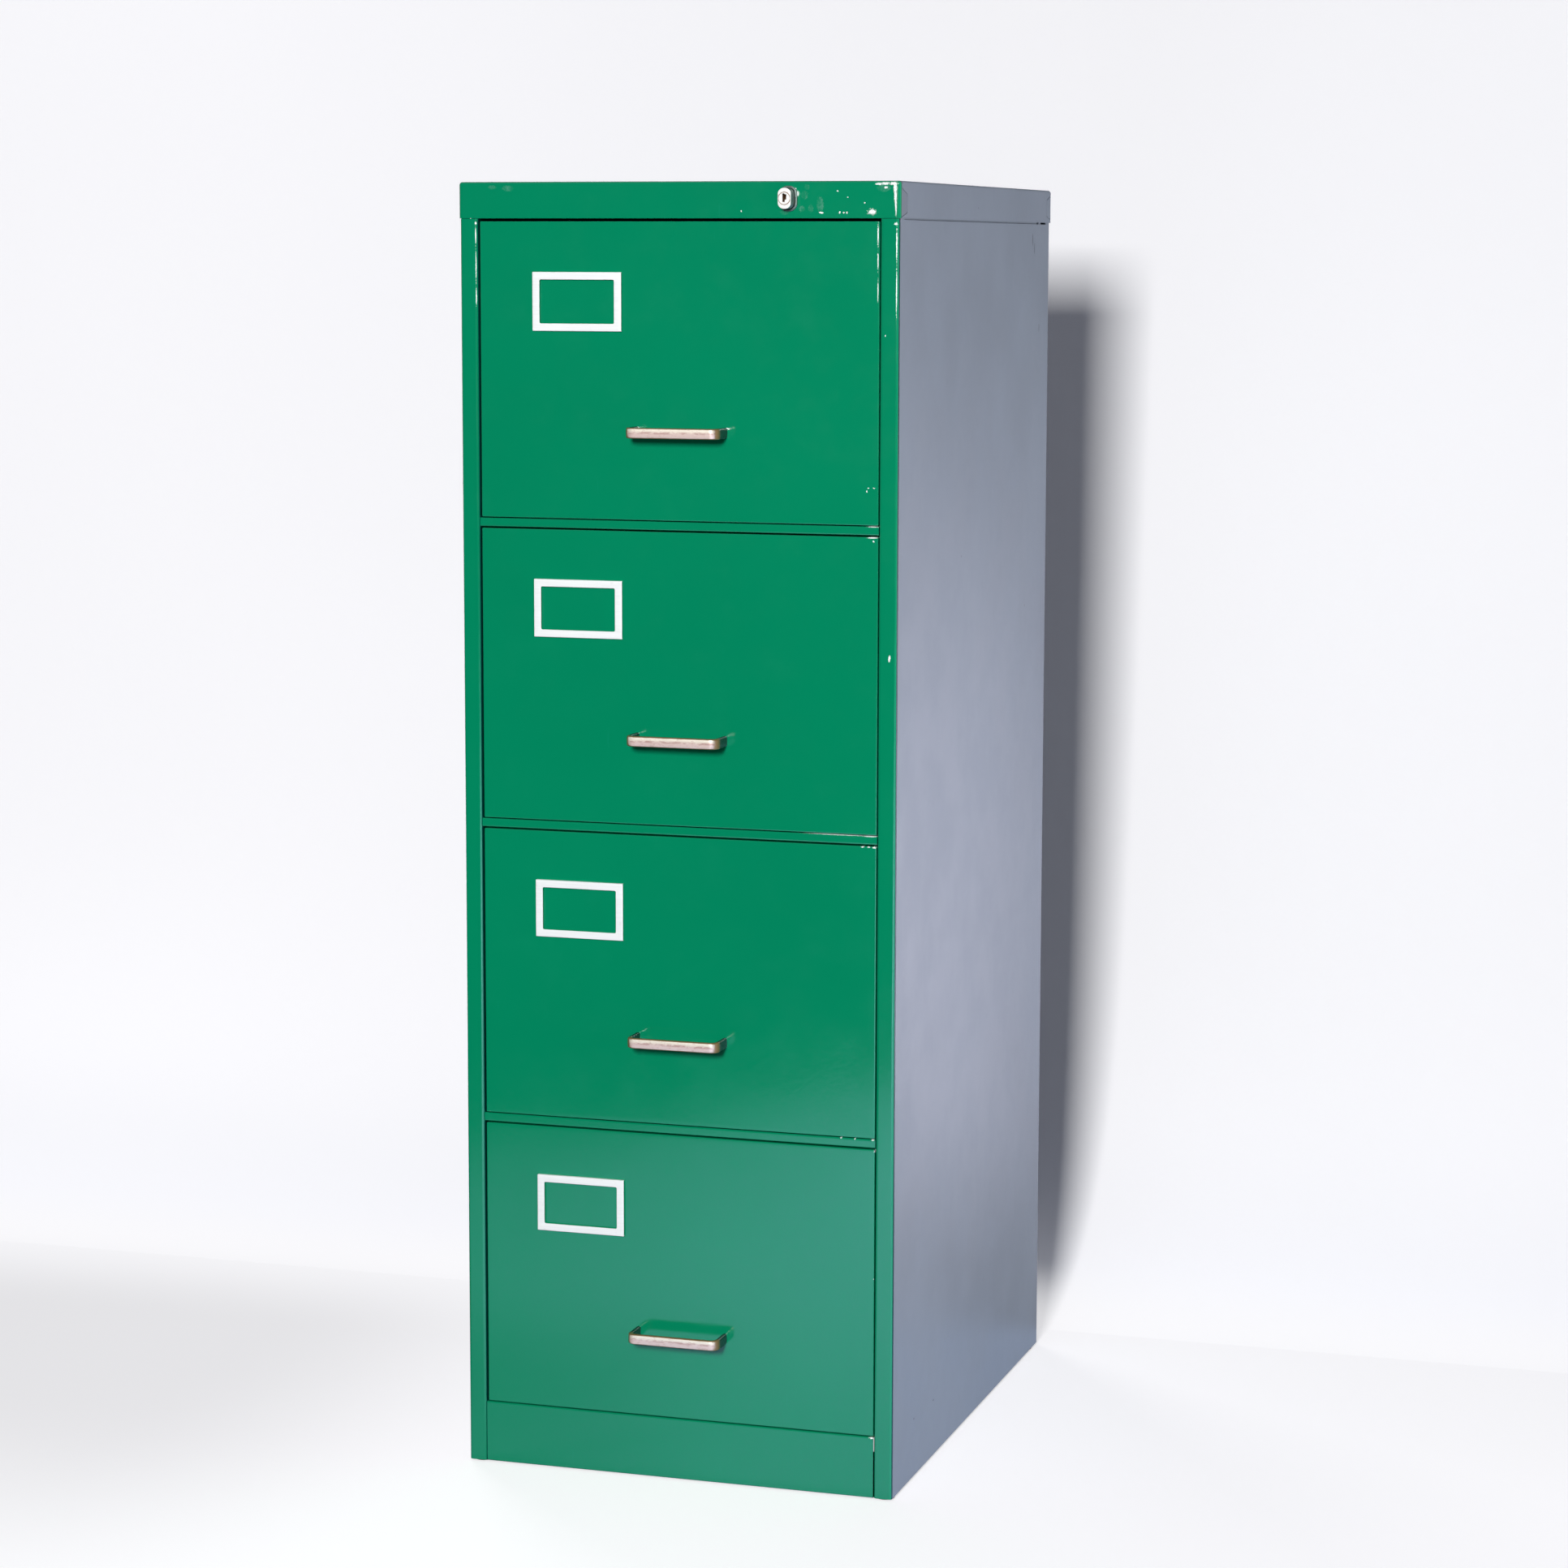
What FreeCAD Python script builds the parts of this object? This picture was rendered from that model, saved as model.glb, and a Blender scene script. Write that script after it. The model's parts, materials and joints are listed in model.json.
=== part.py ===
import FreeCAD, Part
import math
import os

from FreeCAD import Vector

# A four-drawer steel filing cabinet for foolscap files. It has a folded sheet body, a separate
# cap with its fascia, four drawers on three-member ball slides, and a push-in lock that lifts
# one bar behind the right post, which holds all four drawers shut.
#
# Frame: X to the right, Y to the back, Z up, in millimetres. The origin is on the floor, under
# the middle of the whole object. The drawers open towards -Y.

# Driving dimensions of the body
height = 1321.0
body_width = 457.2
body_depth = 618.5
foot_height = 2.0
sheet = 1.0
corner_bend = 1.8
panel_rear_flange = 22.0
panel_top_flange = 16.0
flange_behind_shaft = 12.0
flange_before_post = 4.0
panel_top_lap = 0.5
panel_seam = 0.2
lip_behind_gap = 3.0
lip_above_gap = 8.0
lip_end_room = 0.5
back_edge_room = 2.5
back_flange = 15.0

# Cap and its front fascia
cap_height = 36.0
cap_overhang = 1.2
cap_rear_overhang = 2.0
cap_sheet = 1.2
cap_edge_radius = 3.0
cap_inside_room = 0.4
top_seam = 8.0
top_seam_drop = 3.6
skirt_gap = 2.0
skirt_gap_start = 19.0
skirt_gap_end = 600.0
fascia_flange_depth = 12.0
fascia_flange_room = 0.5

# Side tab of the fascia: how far behind the front its corners lie, and how far above its bottom edge
tab_depth = 24.4
tab_toe = (5.0, 1.5)
tab_low_corner = 5.8
tab_high_corner = 23.0
tab_shoulder = (4.0, 29.0)
tab_gap = 0.5

# The line pressed around the rear skirt's tab, measured the same way from the back
rear_tab_depth = 20.4
rear_tab_levels = (2.4, 7.0, 25.5, 31.6)
tab_groove = 0.7

# Posts, rails and plinth
post_width = 19.1
post_depth = 38.0
post_inner_bend = 2.4
post_lap = 3.6
post_step = 0.9
post_step_bend = 0.2
post_lap_depth = 22.0
post_skirt_room = 0.1
rail_height = 8.8
rail_depth = 18.0
rail_setback = 0.3
rail_bend = 0.6
plinth_height = 63.5
plinth_side_gap = 0.4
plinth_top_depth = 20.0
rear_post_depth = 44.0
rear_post_lip = 10.0
rear_post_bend = 0.8
rear_post_back_room = 1.0

# Base frame, feet and their nuts
base_height = 30.0
base_width = 20.0
base_wall = 1.5
ear_thickness = 3.0
ear_front = 4.5
ear_room = 0.3
foot_diameter = 19.0
foot_edge = 0.5
foot_stem = 8.0
foot_stem_length = 20.0
foot_inset = 10.2
foot_behind_front = 13.5
stem_room = 0.4
nut_radius = 7.0
nut_height = 6.5
nut_thread_room = 0.1

# Drawers
drawer_count = 4
drawer_pitch = 306.7
drawer_front_height = 295.5
drawer_bottom = 66.5
drawer_rail_gap = 0.9
drawer_left_gap = 2.0
drawer_right_gap = 0.4
drawer_front_depth = 19.0
drawer_edge_radius = 1.8
front_side_flange = 18.0
front_end_flange = 14.0
tray_width = 390.0
tray_floor = 4.0
tray_side_height = 246.0
tray_front_height = 284.0
tray_back = 580.0
tray_lip_width = 11.0
tray_lip_drop = 7.0
drawer_travel = 530.0

# Handles: a flat strip bent into a shallow bow, and the two screws that hold it
handle_reach = 32.0
handle_length = 97.6
handle_height = 10.6
handle_thickness = 4.6
handle_bend = 9.0
handle_edge = 1.6
handle_centre_x = 4.7
handle_above_bottom = 88.0
handle_screw = 3.4
handle_screw_depth = 8.0
handle_screw_room = 1.0
handle_screw_head = (8.0, 2.6)
screw_slot = (1.2, 1.0)

# Label frames
label_width = 94.0
label_height = 58.5
label_border = 7.5
label_corner = 1.5
label_edge = 0.7
label_left = -150.5
label_below_top = 50.0
label_reach = 3.4
label_plate = 0.9
label_tab_width = 9.0
label_tab_inset = 20.0
label_tab_room = 0.2

# Ball slides, each in three members, measured from the drawer side outwards
slide_thickness = 14.5
slide_metal = 1.5
slide_above_bottom = 110.0
outer_half_height = 22.5
middle_half_height = 16.5
inner_half_height = 10.5
middle_web_inset = 3.9
flange_start = 4.5
member_room = 1.4
slide_start = 22.0
middle_start = 24.0
slide_moving_end = 570.0
slide_fixed_end = 600.0
slide_screw = 4.0
slide_screw_room = 0.4
slide_screw_length = 7.5
slide_screw_head = (7.0, 0.9)
slide_screw_places = [31.0, 592.0]
ball_diameter = 4.4
ball_room = 0.3
balls_per_cage = 5
cage_length = 240.0
cage_width = 5.8
cage_sheet = 1.0
cage_start = 12.0
buffer_length = 8.0
buffer_height = 28.0
buffer_room = 0.4
buffer_inset = 1.0

# Lock button and its housing
lock_x = 116.3
lock_z = 1304.0
lock_width = 14.0
lock_tall = 20.6
lock_corner = 6.2
lock_edge = 0.5
lock_reach = 15.0
lock_inside = 14.0
lock_travel = 10.0
lock_fit = 0.25
sleeve_wall = 0.9
sleeve_depth = 26.0
sleeve_room = 0.15
sleeve_lap = 0.5
bezel_reach = 2.0
bezel_edge = 0.6
lock_plate = (28.0, 1.5)
lock_plate_room = 0.5
plug_diameter = 12.2
plug_length = 22.6
plug_fit = 0.2
key_slot_depth = 15.0
key_slot = (2.3, 8.0)
key_slot_left = 1.7
key_slot_low = 3.4
key_ward = (2.2, 5.0)
key_ward_left = 0.1
key_ward_low = 1.2

# Lock works: the pushed lever and the lifting lever on one shaft, and the bar they lift
shaft_back = 58.0
shaft_diameter = 6.0
shaft_beyond_button = 13.0
shaft_end_room = 5.2
lever_length = 13.0
lever_width = 6.0
lever_thickness = 3.0
lever_tip = 2.0
lever_hub = 11.0
lever_room = 0.3
nose_diameter = 3.0
nose_length = 8.0
tail_diameter = 8.0
lift_lever_length = 11.0
lift_lever_height = 5.0
lift_lever_thickness = 3.0
lift_hub = 10.0
lift_room = 0.4
lift_pin = 4.0
lift_pin_inset = 13.0
bar_thickness = 2.5
bar_from_pin = 0.5
bar_front = 17.6
bar_rear = 3.7
bar_bottom = 84.0
bar_above_slot = 8.0
bar_slot_front = 13.4
bar_slot_rear = 7.8
bar_slot_height = 4.6
tongue_back = 43.0
tongue_above_bottom = 200.0
tongue_height = 6.0
tongue_width = 8.0
tongue_from_tray = 4.5
catch_width = 11.5
catch_height = 14.0
catch_wall = 3.0
catch_roof = 3.5
catch_back = 2.0
catch_side_room = 1.0
catch_above_tongue = 1.5
spring_bottom = 36.0
spring_turns = 16
spring_wire = 1.2
spring_radius = 3.4
spring_post = 8.0
hanger_thickness = 2.0
hanger_depth = 16.0
hanger_below_shaft = 6.0
hanger_room = 0.5
hanger_beside_button = 10.0
hanger_before_post = 9.0
guide_below_tongue = 60.0
guide_height = 10.0
guide_wall = 2.0
guide_side_wall = 1.6
guide_room = 0.35

# A block that cuts an opening runs this far past the faces it opens
past = 1.0
well_past = 5.0

# Places worked out from the driving dimensions
cap_depth = body_depth + cap_rear_overhang
front = handle_reach - (handle_reach + cap_depth) / 2.0
back = front + body_depth
cap_back = front + cap_depth
side_x = body_width / 2.0
inner_side_x = side_x - sheet
post_x = side_x - post_width
cap_x = side_x + cap_overhang
cap_bottom = height - cap_height
cap_under = height - cap_sheet
panel_top = cap_bottom + panel_top_lap
panel_gap_bottom = panel_top - skirt_gap
fold_room = cap_edge_radius - cap_sheet + cap_inside_room
drawer_bottoms = [drawer_bottom + n * drawer_pitch for n in reversed(range(drawer_count))]
tray_x = tray_width / 2.0
rear_post_end = back - 2.0 * sheet - rear_post_back_room
foot_places = [
    (side_x - foot_inset, front + foot_behind_front),
    (side_x - foot_inset, rear_post_end - rear_post_depth / 2.0),
]
leg_x = (handle_length - handle_thickness) / 2.0
handle_leg_places = [handle_centre_x - leg_x, handle_centre_x + leg_x]
slide_outer_x = tray_x + slide_thickness
middle_web_x = slide_outer_x - middle_web_inset
flange_start_x = tray_x + flange_start
shaft_y = front + shaft_back
shaft_z = lock_z - lever_length
half_swing = math.degrees(math.asin(lock_travel / 2.0 / lever_length))
button_nose_end = shaft_y - lock_travel / 2.0 - lever_tip - lever_room
lift_pin_x = side_x - lift_pin_inset
bar_x = (lift_pin_x + bar_from_pin, lift_pin_x + bar_from_pin + bar_thickness)
bar_y = (shaft_y - bar_front, shaft_y - bar_rear)
bar_middle = ((bar_x[0] + bar_x[1]) / 2.0, (bar_y[0] + bar_y[1]) / 2.0)
tongue_y = (front + tongue_back, front + tongue_back + tongue_width)

# Profiles are drawn in one of three planes and carried along the third axis
PLANES = {
    "XY": (Vector(1, 0, 0), Vector(0, 1, 0), Vector(0, 0, 1)),
    "YZ": (Vector(0, 1, 0), Vector(0, 0, 1), Vector(1, 0, 0)),
    "XZ": (Vector(1, 0, 0), Vector(0, 0, 1), Vector(0, 1, 0)),
}
ALONG_X = Vector(1, 0, 0)
ALONG_Y = Vector(0, 1, 0)
ALONG_Z = Vector(0, 0, 1)


def place(plane, point, level):
    """The space point of a profile point at a level along the plane's third axis."""
    across, up, along = PLANES[plane]
    return across * point[0] + up * point[1] + along * level


def unit(first, last):
    """The unit direction from one profile point to another."""
    run = (last[0] - first[0], last[1] - first[1])
    length = math.hypot(*run)
    return (run[0] / length, run[1] / length)


def rounded_path(plane, points, radii, level):
    """Edges along a path of profile points, with an arc of its own radius at each inner point."""
    edges = []
    start = points[0]
    for before, corner, after, radius in zip(points, points[1:], points[2:], radii):
        back_way = unit(corner, before)
        on_way = unit(corner, after)
        cosine = back_way[0] * on_way[0] + back_way[1] * on_way[1]
        half = math.acos(max(-1.0, min(1.0, cosine))) / 2.0
        reach = radius / math.tan(half)
        arc_start = (corner[0] + back_way[0] * reach, corner[1] + back_way[1] * reach)
        arc_end = (corner[0] + on_way[0] * reach, corner[1] + on_way[1] * reach)
        middle_way = unit((0.0, 0.0), (back_way[0] + on_way[0], back_way[1] + on_way[1]))
        depth = radius / math.sin(half) - radius
        arc_middle = (corner[0] + middle_way[0] * depth, corner[1] + middle_way[1] * depth)
        edges.append(Part.makeLine(place(plane, start, level), place(plane, arc_start, level)))
        arc_points = [place(plane, point, level) for point in (arc_start, arc_middle, arc_end)]
        edges.append(Part.Arc(*arc_points).toShape())
        start = arc_end
    edges.append(Part.makeLine(place(plane, start, level), place(plane, points[-1], level)))
    return edges


def moved_left(points, distance):
    """The same path moved to its own left, with its corners mitred."""
    moved = []
    ways = [unit(first, last) for first, last in zip(points, points[1:])]
    lefts = [(-way[1], way[0]) for way in ways]
    for index, point in enumerate(points):
        first = lefts[max(index - 1, 0)]
        last = lefts[min(index, len(lefts) - 1)]
        scale = distance / (1.0 + first[0] * last[0] + first[1] * last[1])
        moved.append((point[0] + (first[0] + last[0]) * scale, point[1] + (first[1] + last[1]) * scale))
    return moved


def bent_sheet(plane, points, start, end, thickness=sheet, bend=1.0):
    """A folded sheet: the path is one face of it, and its thickness lies to the path's left."""
    bends = bend if isinstance(bend, (list, tuple)) else [bend] * (len(points) - 2)
    outer_radii = []
    inner_radii = []
    for before, corner, after, radius in zip(points, points[1:], points[2:], bends):
        way_in = unit(before, corner)
        way_out = unit(corner, after)
        turns_left = way_in[0] * way_out[1] - way_in[1] * way_out[0] > 0.0
        outer_radii.append(radius + thickness if turns_left else radius)
        inner_radii.append(radius if turns_left else radius + thickness)
    other = moved_left(points, thickness)
    edges = rounded_path(plane, points, outer_radii, start)
    edges.append(Part.makeLine(place(plane, points[-1], start), place(plane, other[-1], start)))
    edges += rounded_path(plane, other[::-1], inner_radii[::-1], start)
    edges.append(Part.makeLine(place(plane, other[0], start), place(plane, points[0], start)))
    face = Part.Face(Part.Wire(Part.__sortEdges__(edges)))
    return face.extrude(PLANES[plane][2] * (end - start))


def prism(plane, points, start, end):
    """A straight prism over a closed outline."""
    corners = [place(plane, point, start) for point in points]
    face = Part.Face(Part.makePolygon(corners + corners[:1]))
    return face.extrude(PLANES[plane][2] * (end - start))


def box(x_range, y_range, z_range):
    """A plain block between two x, two y and two z values."""
    size = [abs(pair[1] - pair[0]) for pair in (x_range, y_range, z_range)]
    return Part.makeBox(*size, Vector(min(x_range), min(y_range), min(z_range)))


def rod(diameter, start, way, length):
    """A round bar from a start point along a direction."""
    return Part.makeCylinder(diameter / 2.0, length, start, way)


def about(centre, size):
    """The two ends of a length around its centre."""
    return (centre - size / 2.0, centre + size / 2.0)


def rounded(solid, radius, chosen):
    """The solid with a fillet on each edge that the test chooses."""
    edges = [edge for edge in solid.Edges if chosen(edge.CenterOfMass)]
    return solid.makeFillet(radius, edges)


def near(value, target):
    """True where two lengths agree to a hundredth of a millimetre."""
    return abs(value - target) < 0.01


def lock_block(grow, y_range):
    """The lock button's outline carried along Y, grown all round by a wall or a gap."""
    middle_y = (y_range[0] + y_range[1]) / 2.0
    block = box(about(lock_x, lock_width + 2.0 * grow), y_range, about(lock_z, lock_tall + 2.0 * grow))
    return rounded(block, lock_corner + max(grow - lock_fit, 0.0), lambda centre: near(centre.y, middle_y))


def mirrored(solid):
    """The same piece on the cabinet's other side."""
    return solid.mirror(Vector(0, 0, 0), ALONG_X)


def both_sides(solid):
    """A piece of the right side, and its mirror image for the left."""
    return [solid, mirrored(solid)]


def save(name, *solids):
    """Write one node. A node of several pieces keeps them as separate solids."""
    for solid in solids:
        if not solid.isValid() or len(solid.Solids) != 1:
            raise ValueError(name + " holds a piece that isn't one valid solid")
    shape = solids[0] if len(solids) == 1 else Part.makeCompound(list(solids))
    shape.exportStep("parts/" + name + ".step")


def one_solid(shape):
    """The single solid of a boolean's result, with its split faces joined."""
    return shape.removeSplitter().Solids[0]


# Side panels, with a rear flange, an inward top flange, the shadow gap under the cap and the lip
# that closes the gap from inside

def side_panel():
    points = [
        (side_x, front + post_lap + post_step + panel_seam),
        (side_x, back),
        (side_x - panel_rear_flange, back),
    ]
    panel = bent_sheet("XY", points, foot_height, panel_top, bend=corner_bend)
    gap_y = (front + skirt_gap_start, front + skirt_gap_end)
    gap = box((0.0, cap_x), gap_y, (panel_gap_bottom, height))
    flange_y = (shaft_y + flange_behind_shaft, rear_post_end - rear_post_depth - flange_before_post)
    flange_z = (panel_gap_bottom - sheet, panel_gap_bottom)
    flange = box((side_x - panel_top_flange, side_x), flange_y, flange_z)
    lip_x = side_x - lip_behind_gap - sheet
    lip_y = (front + post_lap_depth + lip_end_room, rear_post_end - rear_post_depth - lip_end_room)
    ledge = box((lip_x, side_x), lip_y, flange_z)
    lip = box((lip_x, lip_x + sheet), lip_y, (flange_z[0], panel_gap_bottom + lip_above_gap))
    return one_solid(panel.cut(gap).fuse(flange).fuse(ledge).fuse(lip))


# Posts

def front_post():
    """The green post: inner return, rounded front face, and a lap that steps under the panel."""
    points = [
        (post_x, front + post_depth),
        (post_x, front),
        (side_x, front),
        (side_x, front + post_lap),
        (inner_side_x, front + post_lap + post_step),
        (inner_side_x, front + post_lap_depth),
    ]
    bends = [post_inner_bend, corner_bend, post_step_bend, post_step_bend]
    post = bent_sheet("XY", points, foot_height, cap_under, bend=bends)
    above = (cap_bottom - cap_inside_room, height)
    behind_fascia = box((0.0, cap_x), (front - past, front + cap_sheet), above)
    lap_x = (inner_side_x - post_skirt_room, cap_x)
    inside_skirt = box(lap_x, (front - past, front + post_lap_depth + past), above)
    under_fold_y = (front - past, front + cap_edge_radius + past)
    under_fold = box((0.0, cap_x), under_fold_y, (cap_under - fold_room, height))
    post = post.cut(behind_fascia).cut(inside_skirt).cut(under_fold).cut(cap_corner_room())
    return one_solid(drilled(post, slide_screw_places[0]))


def cap_corner_room():
    """The space that the cap's rounded top edge needs inside its skirt."""
    return box((inner_side_x - fold_room, cap_x), (front, cap_back), (cap_under - fold_room, height))


def drilled(post, y):
    """A post with the screw holes of the four slides."""
    for bottom in drawer_bottoms:
        start = Vector(post_x - past, front + y, bottom + slide_above_bottom)
        post = post.cut(rod(slide_screw, start, ALONG_X, sheet + 2.0 * past))
    return post


def rear_post():
    """A hat section against the side panel: the rear ends of the slides are screwed to it."""
    web_x = post_x + sheet
    near_end = rear_post_end - rear_post_depth
    points = [
        (inner_side_x, near_end),
        (inner_side_x, near_end + rear_post_lip),
        (web_x, near_end + rear_post_lip),
        (web_x, rear_post_end - rear_post_lip),
        (inner_side_x, rear_post_end - rear_post_lip),
        (inner_side_x, rear_post_end),
    ]
    post = bent_sheet("XY", points, foot_height + ear_thickness, cap_under, bend=rear_post_bend)
    return one_solid(drilled(post.cut(cap_corner_room()), slide_screw_places[1]))


# Back panel: a flat sheet with stiffening flanges at its top and bottom

def back_panel():
    edge = inner_side_x - back_edge_room
    inside = back - sheet
    bottom = foot_height + sheet
    top = cap_under - fold_room
    points = [(inside - back_flange, bottom), (inside, bottom), (inside, top), (inside - back_flange, top)]
    panel = bent_sheet("YZ", points, -edge, edge)
    for side in (-1.0, 1.0):
        x_range = (side * (post_x - past), side * (edge + past))
        panel = panel.cut(box(x_range, (back - rear_post_depth, inside - sheet), (0.0, height)))
    return one_solid(panel)


# Cap: the top sheet with its skirts, and the green fascia with its two side tabs

def cap_shell(y_range, bottom, edges):
    """A folded shell of the cap: an outer block less an inner block, both with the same edges."""
    outer = rounded(box((-cap_x, cap_x), y_range, (bottom, height)), cap_edge_radius, edges)
    inner_x = cap_x - cap_sheet
    inner_y = [y_range[0] - past, y_range[1] + past]
    if edges(Vector(0.0, y_range[0], height)):
        inner_y[0] = y_range[0] + cap_sheet
    if edges(Vector(0.0, y_range[1], height)):
        inner_y[1] = y_range[1] - cap_sheet
    inner = box((-inner_x, inner_x), inner_y, (bottom - past, cap_under))
    inner = rounded(inner, cap_edge_radius - cap_sheet, lambda centre: near(centre.z, cap_under))
    return outer.cut(inner)


def tab_outline(grow):
    """The side tab of the fascia seen from the side, as y and z points, grown by a gap."""
    behind = front + tab_depth + grow
    seam_z = height - top_seam_drop
    return [
        (front - well_past, cap_bottom - well_past),
        (front + tab_toe[0] + grow, cap_bottom + tab_toe[1] - grow),
        (behind, cap_bottom + tab_low_corner - grow),
        (behind, cap_bottom + tab_high_corner + grow),
        (front + tab_shoulder[0] + grow, cap_bottom + tab_shoulder[1] + grow),
        (front + tab_shoulder[0] + grow, seam_z),
        (front + top_seam, seam_z),
        (front + top_seam, height + well_past),
        (front - well_past, height + well_past),
    ]


def cap_fascia():
    def folded(centre):
        on_front = near(centre.y, front) and not near(centre.z, cap_bottom)
        on_top_side = near(centre.z, height) and near(abs(centre.x), cap_x)
        return on_front or on_top_side

    shell = cap_shell((front, front + tab_depth), cap_bottom, folded)
    side_keep = prism("YZ", tab_outline(0.0), -cap_x - past, cap_x + past)
    rear_top_y = (front + top_seam, front + tab_depth + past)
    rear_top = box((-cap_x, cap_x), rear_top_y, (cap_under - well_past, height + past))
    flange_x = post_x - fascia_flange_room
    flange_y = (front + cap_sheet / 2.0, front + fascia_flange_depth)
    flange = box((-flange_x, flange_x), flange_y, (cap_bottom, cap_bottom + cap_sheet))
    hole = lock_block(lock_fit + sleeve_wall + sleeve_room, (front - past, front + well_past))
    return one_solid(shell.common(side_keep).cut(rear_top).fuse(flange).cut(hole))


def top_cap():
    bottom = cap_bottom + panel_top_lap

    def folded(centre):
        on_back = near(centre.y, cap_back) and not near(centre.z, bottom)
        on_top_side = near(centre.z, height) and near(abs(centre.x), cap_x)
        return on_back or on_top_side

    shell = cap_shell((front + cap_edge_radius, cap_back), bottom, folded)
    fascia_room = prism("YZ", tab_outline(tab_gap), -cap_x - past, cap_x + past)
    seam_room = box((-cap_x, cap_x), (front, front + top_seam), (height - top_seam_drop, height + past))
    cap = shell.cut(fascia_room).cut(seam_room)
    for side in (-1.0, 1.0):
        groove = rear_tab_groove()
        groove.translate(Vector(side * cap_x, 0.0, 0.0))
        cap = cap.cut(groove)
    return one_solid(cap)


def rear_tab_groove():
    """The line around the rear skirt's folded tab, pressed flush into the side skirt."""
    def outline(inward):
        toe, low, high, head = [cap_bottom + level for level in rear_tab_levels]
        edge = cap_back - rear_tab_depth + inward
        beyond = cap_back + past + inward
        return [(beyond, toe + inward), (edge, low + inward), (edge, high - inward), (beyond, head - inward)]

    ring = prism("YZ", outline(0.0), -tab_groove, tab_groove)
    return ring.cut(prism("YZ", outline(tab_groove), -2.0 * tab_groove, 2.0 * tab_groove))


# Cross rails between the drawers, and the plinth panel below them

def channel(bottom, top, half_width, setback, top_depth, low_depth):
    """A C channel across the cabinet, open to the back."""
    points = [
        (front + setback + top_depth, top),
        (front + setback, top),
        (front + setback, bottom),
        (front + setback + low_depth, bottom),
    ]
    return bent_sheet("YZ", points, -half_width, half_width, bend=rail_bend)


def cross_rails():
    tops = [bottom - drawer_rail_gap for bottom in drawer_bottoms[:-1]]
    return [channel(top - rail_height, top, post_x, rail_setback, rail_depth, rail_depth) for top in tops]


def plinth_panel():
    top = foot_height + plinth_height
    return channel(foot_height, top, post_x - plinth_side_gap, 0.0, plinth_top_depth, post_depth)


# Base frame: a ring of channel between the posts, with ears that reach over the feet

def base_frame():
    ring_y = (front + post_depth, rear_post_end - rear_post_depth)
    ring_z = (foot_height, foot_height + base_height)
    outer = box((-inner_side_x, inner_side_x), ring_y, ring_z)
    hollow_x = inner_side_x - base_wall
    hollow_y = (ring_y[0] + base_wall, ring_y[1] - base_wall)
    hollow = box((-hollow_x, hollow_x), hollow_y, (ring_z[0] + base_wall, ring_z[1] - base_wall))
    middle_x = inner_side_x - base_width
    middle = box((-middle_x, middle_x), (ring_y[0] + base_width, ring_y[1] - base_width), (0.0, height))
    frame = outer.cut(hollow).cut(middle)
    ear_z = (foot_height, foot_height + ear_thickness)
    front_ear_x = (post_x + sheet + ear_room, inner_side_x - sheet - panel_seam)
    front_ear = box(front_ear_x, (front + ear_front, ring_y[0] + base_width), ear_z)
    rear_ear = box((post_x, inner_side_x), (ring_y[1] - base_width, rear_post_end), ear_z)
    for ear in both_sides(front_ear) + both_sides(rear_ear):
        frame = frame.fuse(ear)
    for x, y in foot_places:
        for hole in both_sides(rod(foot_stem + stem_room, Vector(x, y, 0.0), ALONG_Z, foot_stem_length)):
            frame = frame.cut(hole)
    return one_solid(frame)


def levelling_foot(x, y):
    disc = rod(foot_diameter, Vector(x, y, 0.0), ALONG_Z, foot_height)
    disc = rounded(disc, foot_edge, lambda centre: near(centre.z, 0.0))
    stem = rod(foot_stem, Vector(x, y, foot_height - foot_edge), ALONG_Z, foot_stem_length)
    return one_solid(disc.fuse(stem))


def foot_nut(x, y):
    turns = [math.radians(60 * n) for n in range(6)]
    corners = [(x + nut_radius * math.cos(turn), y + nut_radius * math.sin(turn)) for turn in turns]
    bottom = foot_height + ear_thickness
    nut = prism("XY", corners, bottom, bottom + nut_height)
    bore = rod(foot_stem + nut_thread_room, Vector(x, y, 0.0), ALONG_Z, bottom + 2.0 * nut_height)
    return nut.cut(bore)


# Ball slides of the right side. The left side mirrors them.

def slide_section(plate_x, flange_end_x, half, level, y_range):
    """One member: an upright plate with a flange at its top and bottom."""
    y_range = (front + y_range[0], front + y_range[1])
    plate = box((plate_x, plate_x + slide_metal), y_range, about(level, 2.0 * half))
    flange_x = (min(plate_x, flange_end_x), max(plate_x + slide_metal, flange_end_x))
    low = box(flange_x, y_range, (level - half, level - half + slide_metal))
    high = box(flange_x, y_range, (level + half - slide_metal, level + half))
    return one_solid(plate.fuse(low).fuse(high))


def cabinet_runner(level):
    """The outer member, screwed to the front and rear posts."""
    plate_x = slide_outer_x - slide_metal
    y_range = (slide_start, slide_fixed_end)
    member = slide_section(plate_x, flange_start_x, outer_half_height, level, y_range)
    for y in slide_screw_places:
        start = Vector(plate_x - past, front + y, level)
        member = member.cut(rod(slide_screw + slide_screw_room, start, ALONG_X, slide_metal + 2.0 * past))
    return member


def middle_member(level):
    y_range = (middle_start, slide_moving_end)
    return slide_section(middle_web_x, flange_start_x, middle_half_height, level, y_range)


def inner_member(level):
    """The member that is welded to the drawer's side."""
    y_range = (slide_start, slide_moving_end)
    return slide_section(tray_x, middle_web_x - member_room, inner_half_height, level, y_range)


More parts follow.
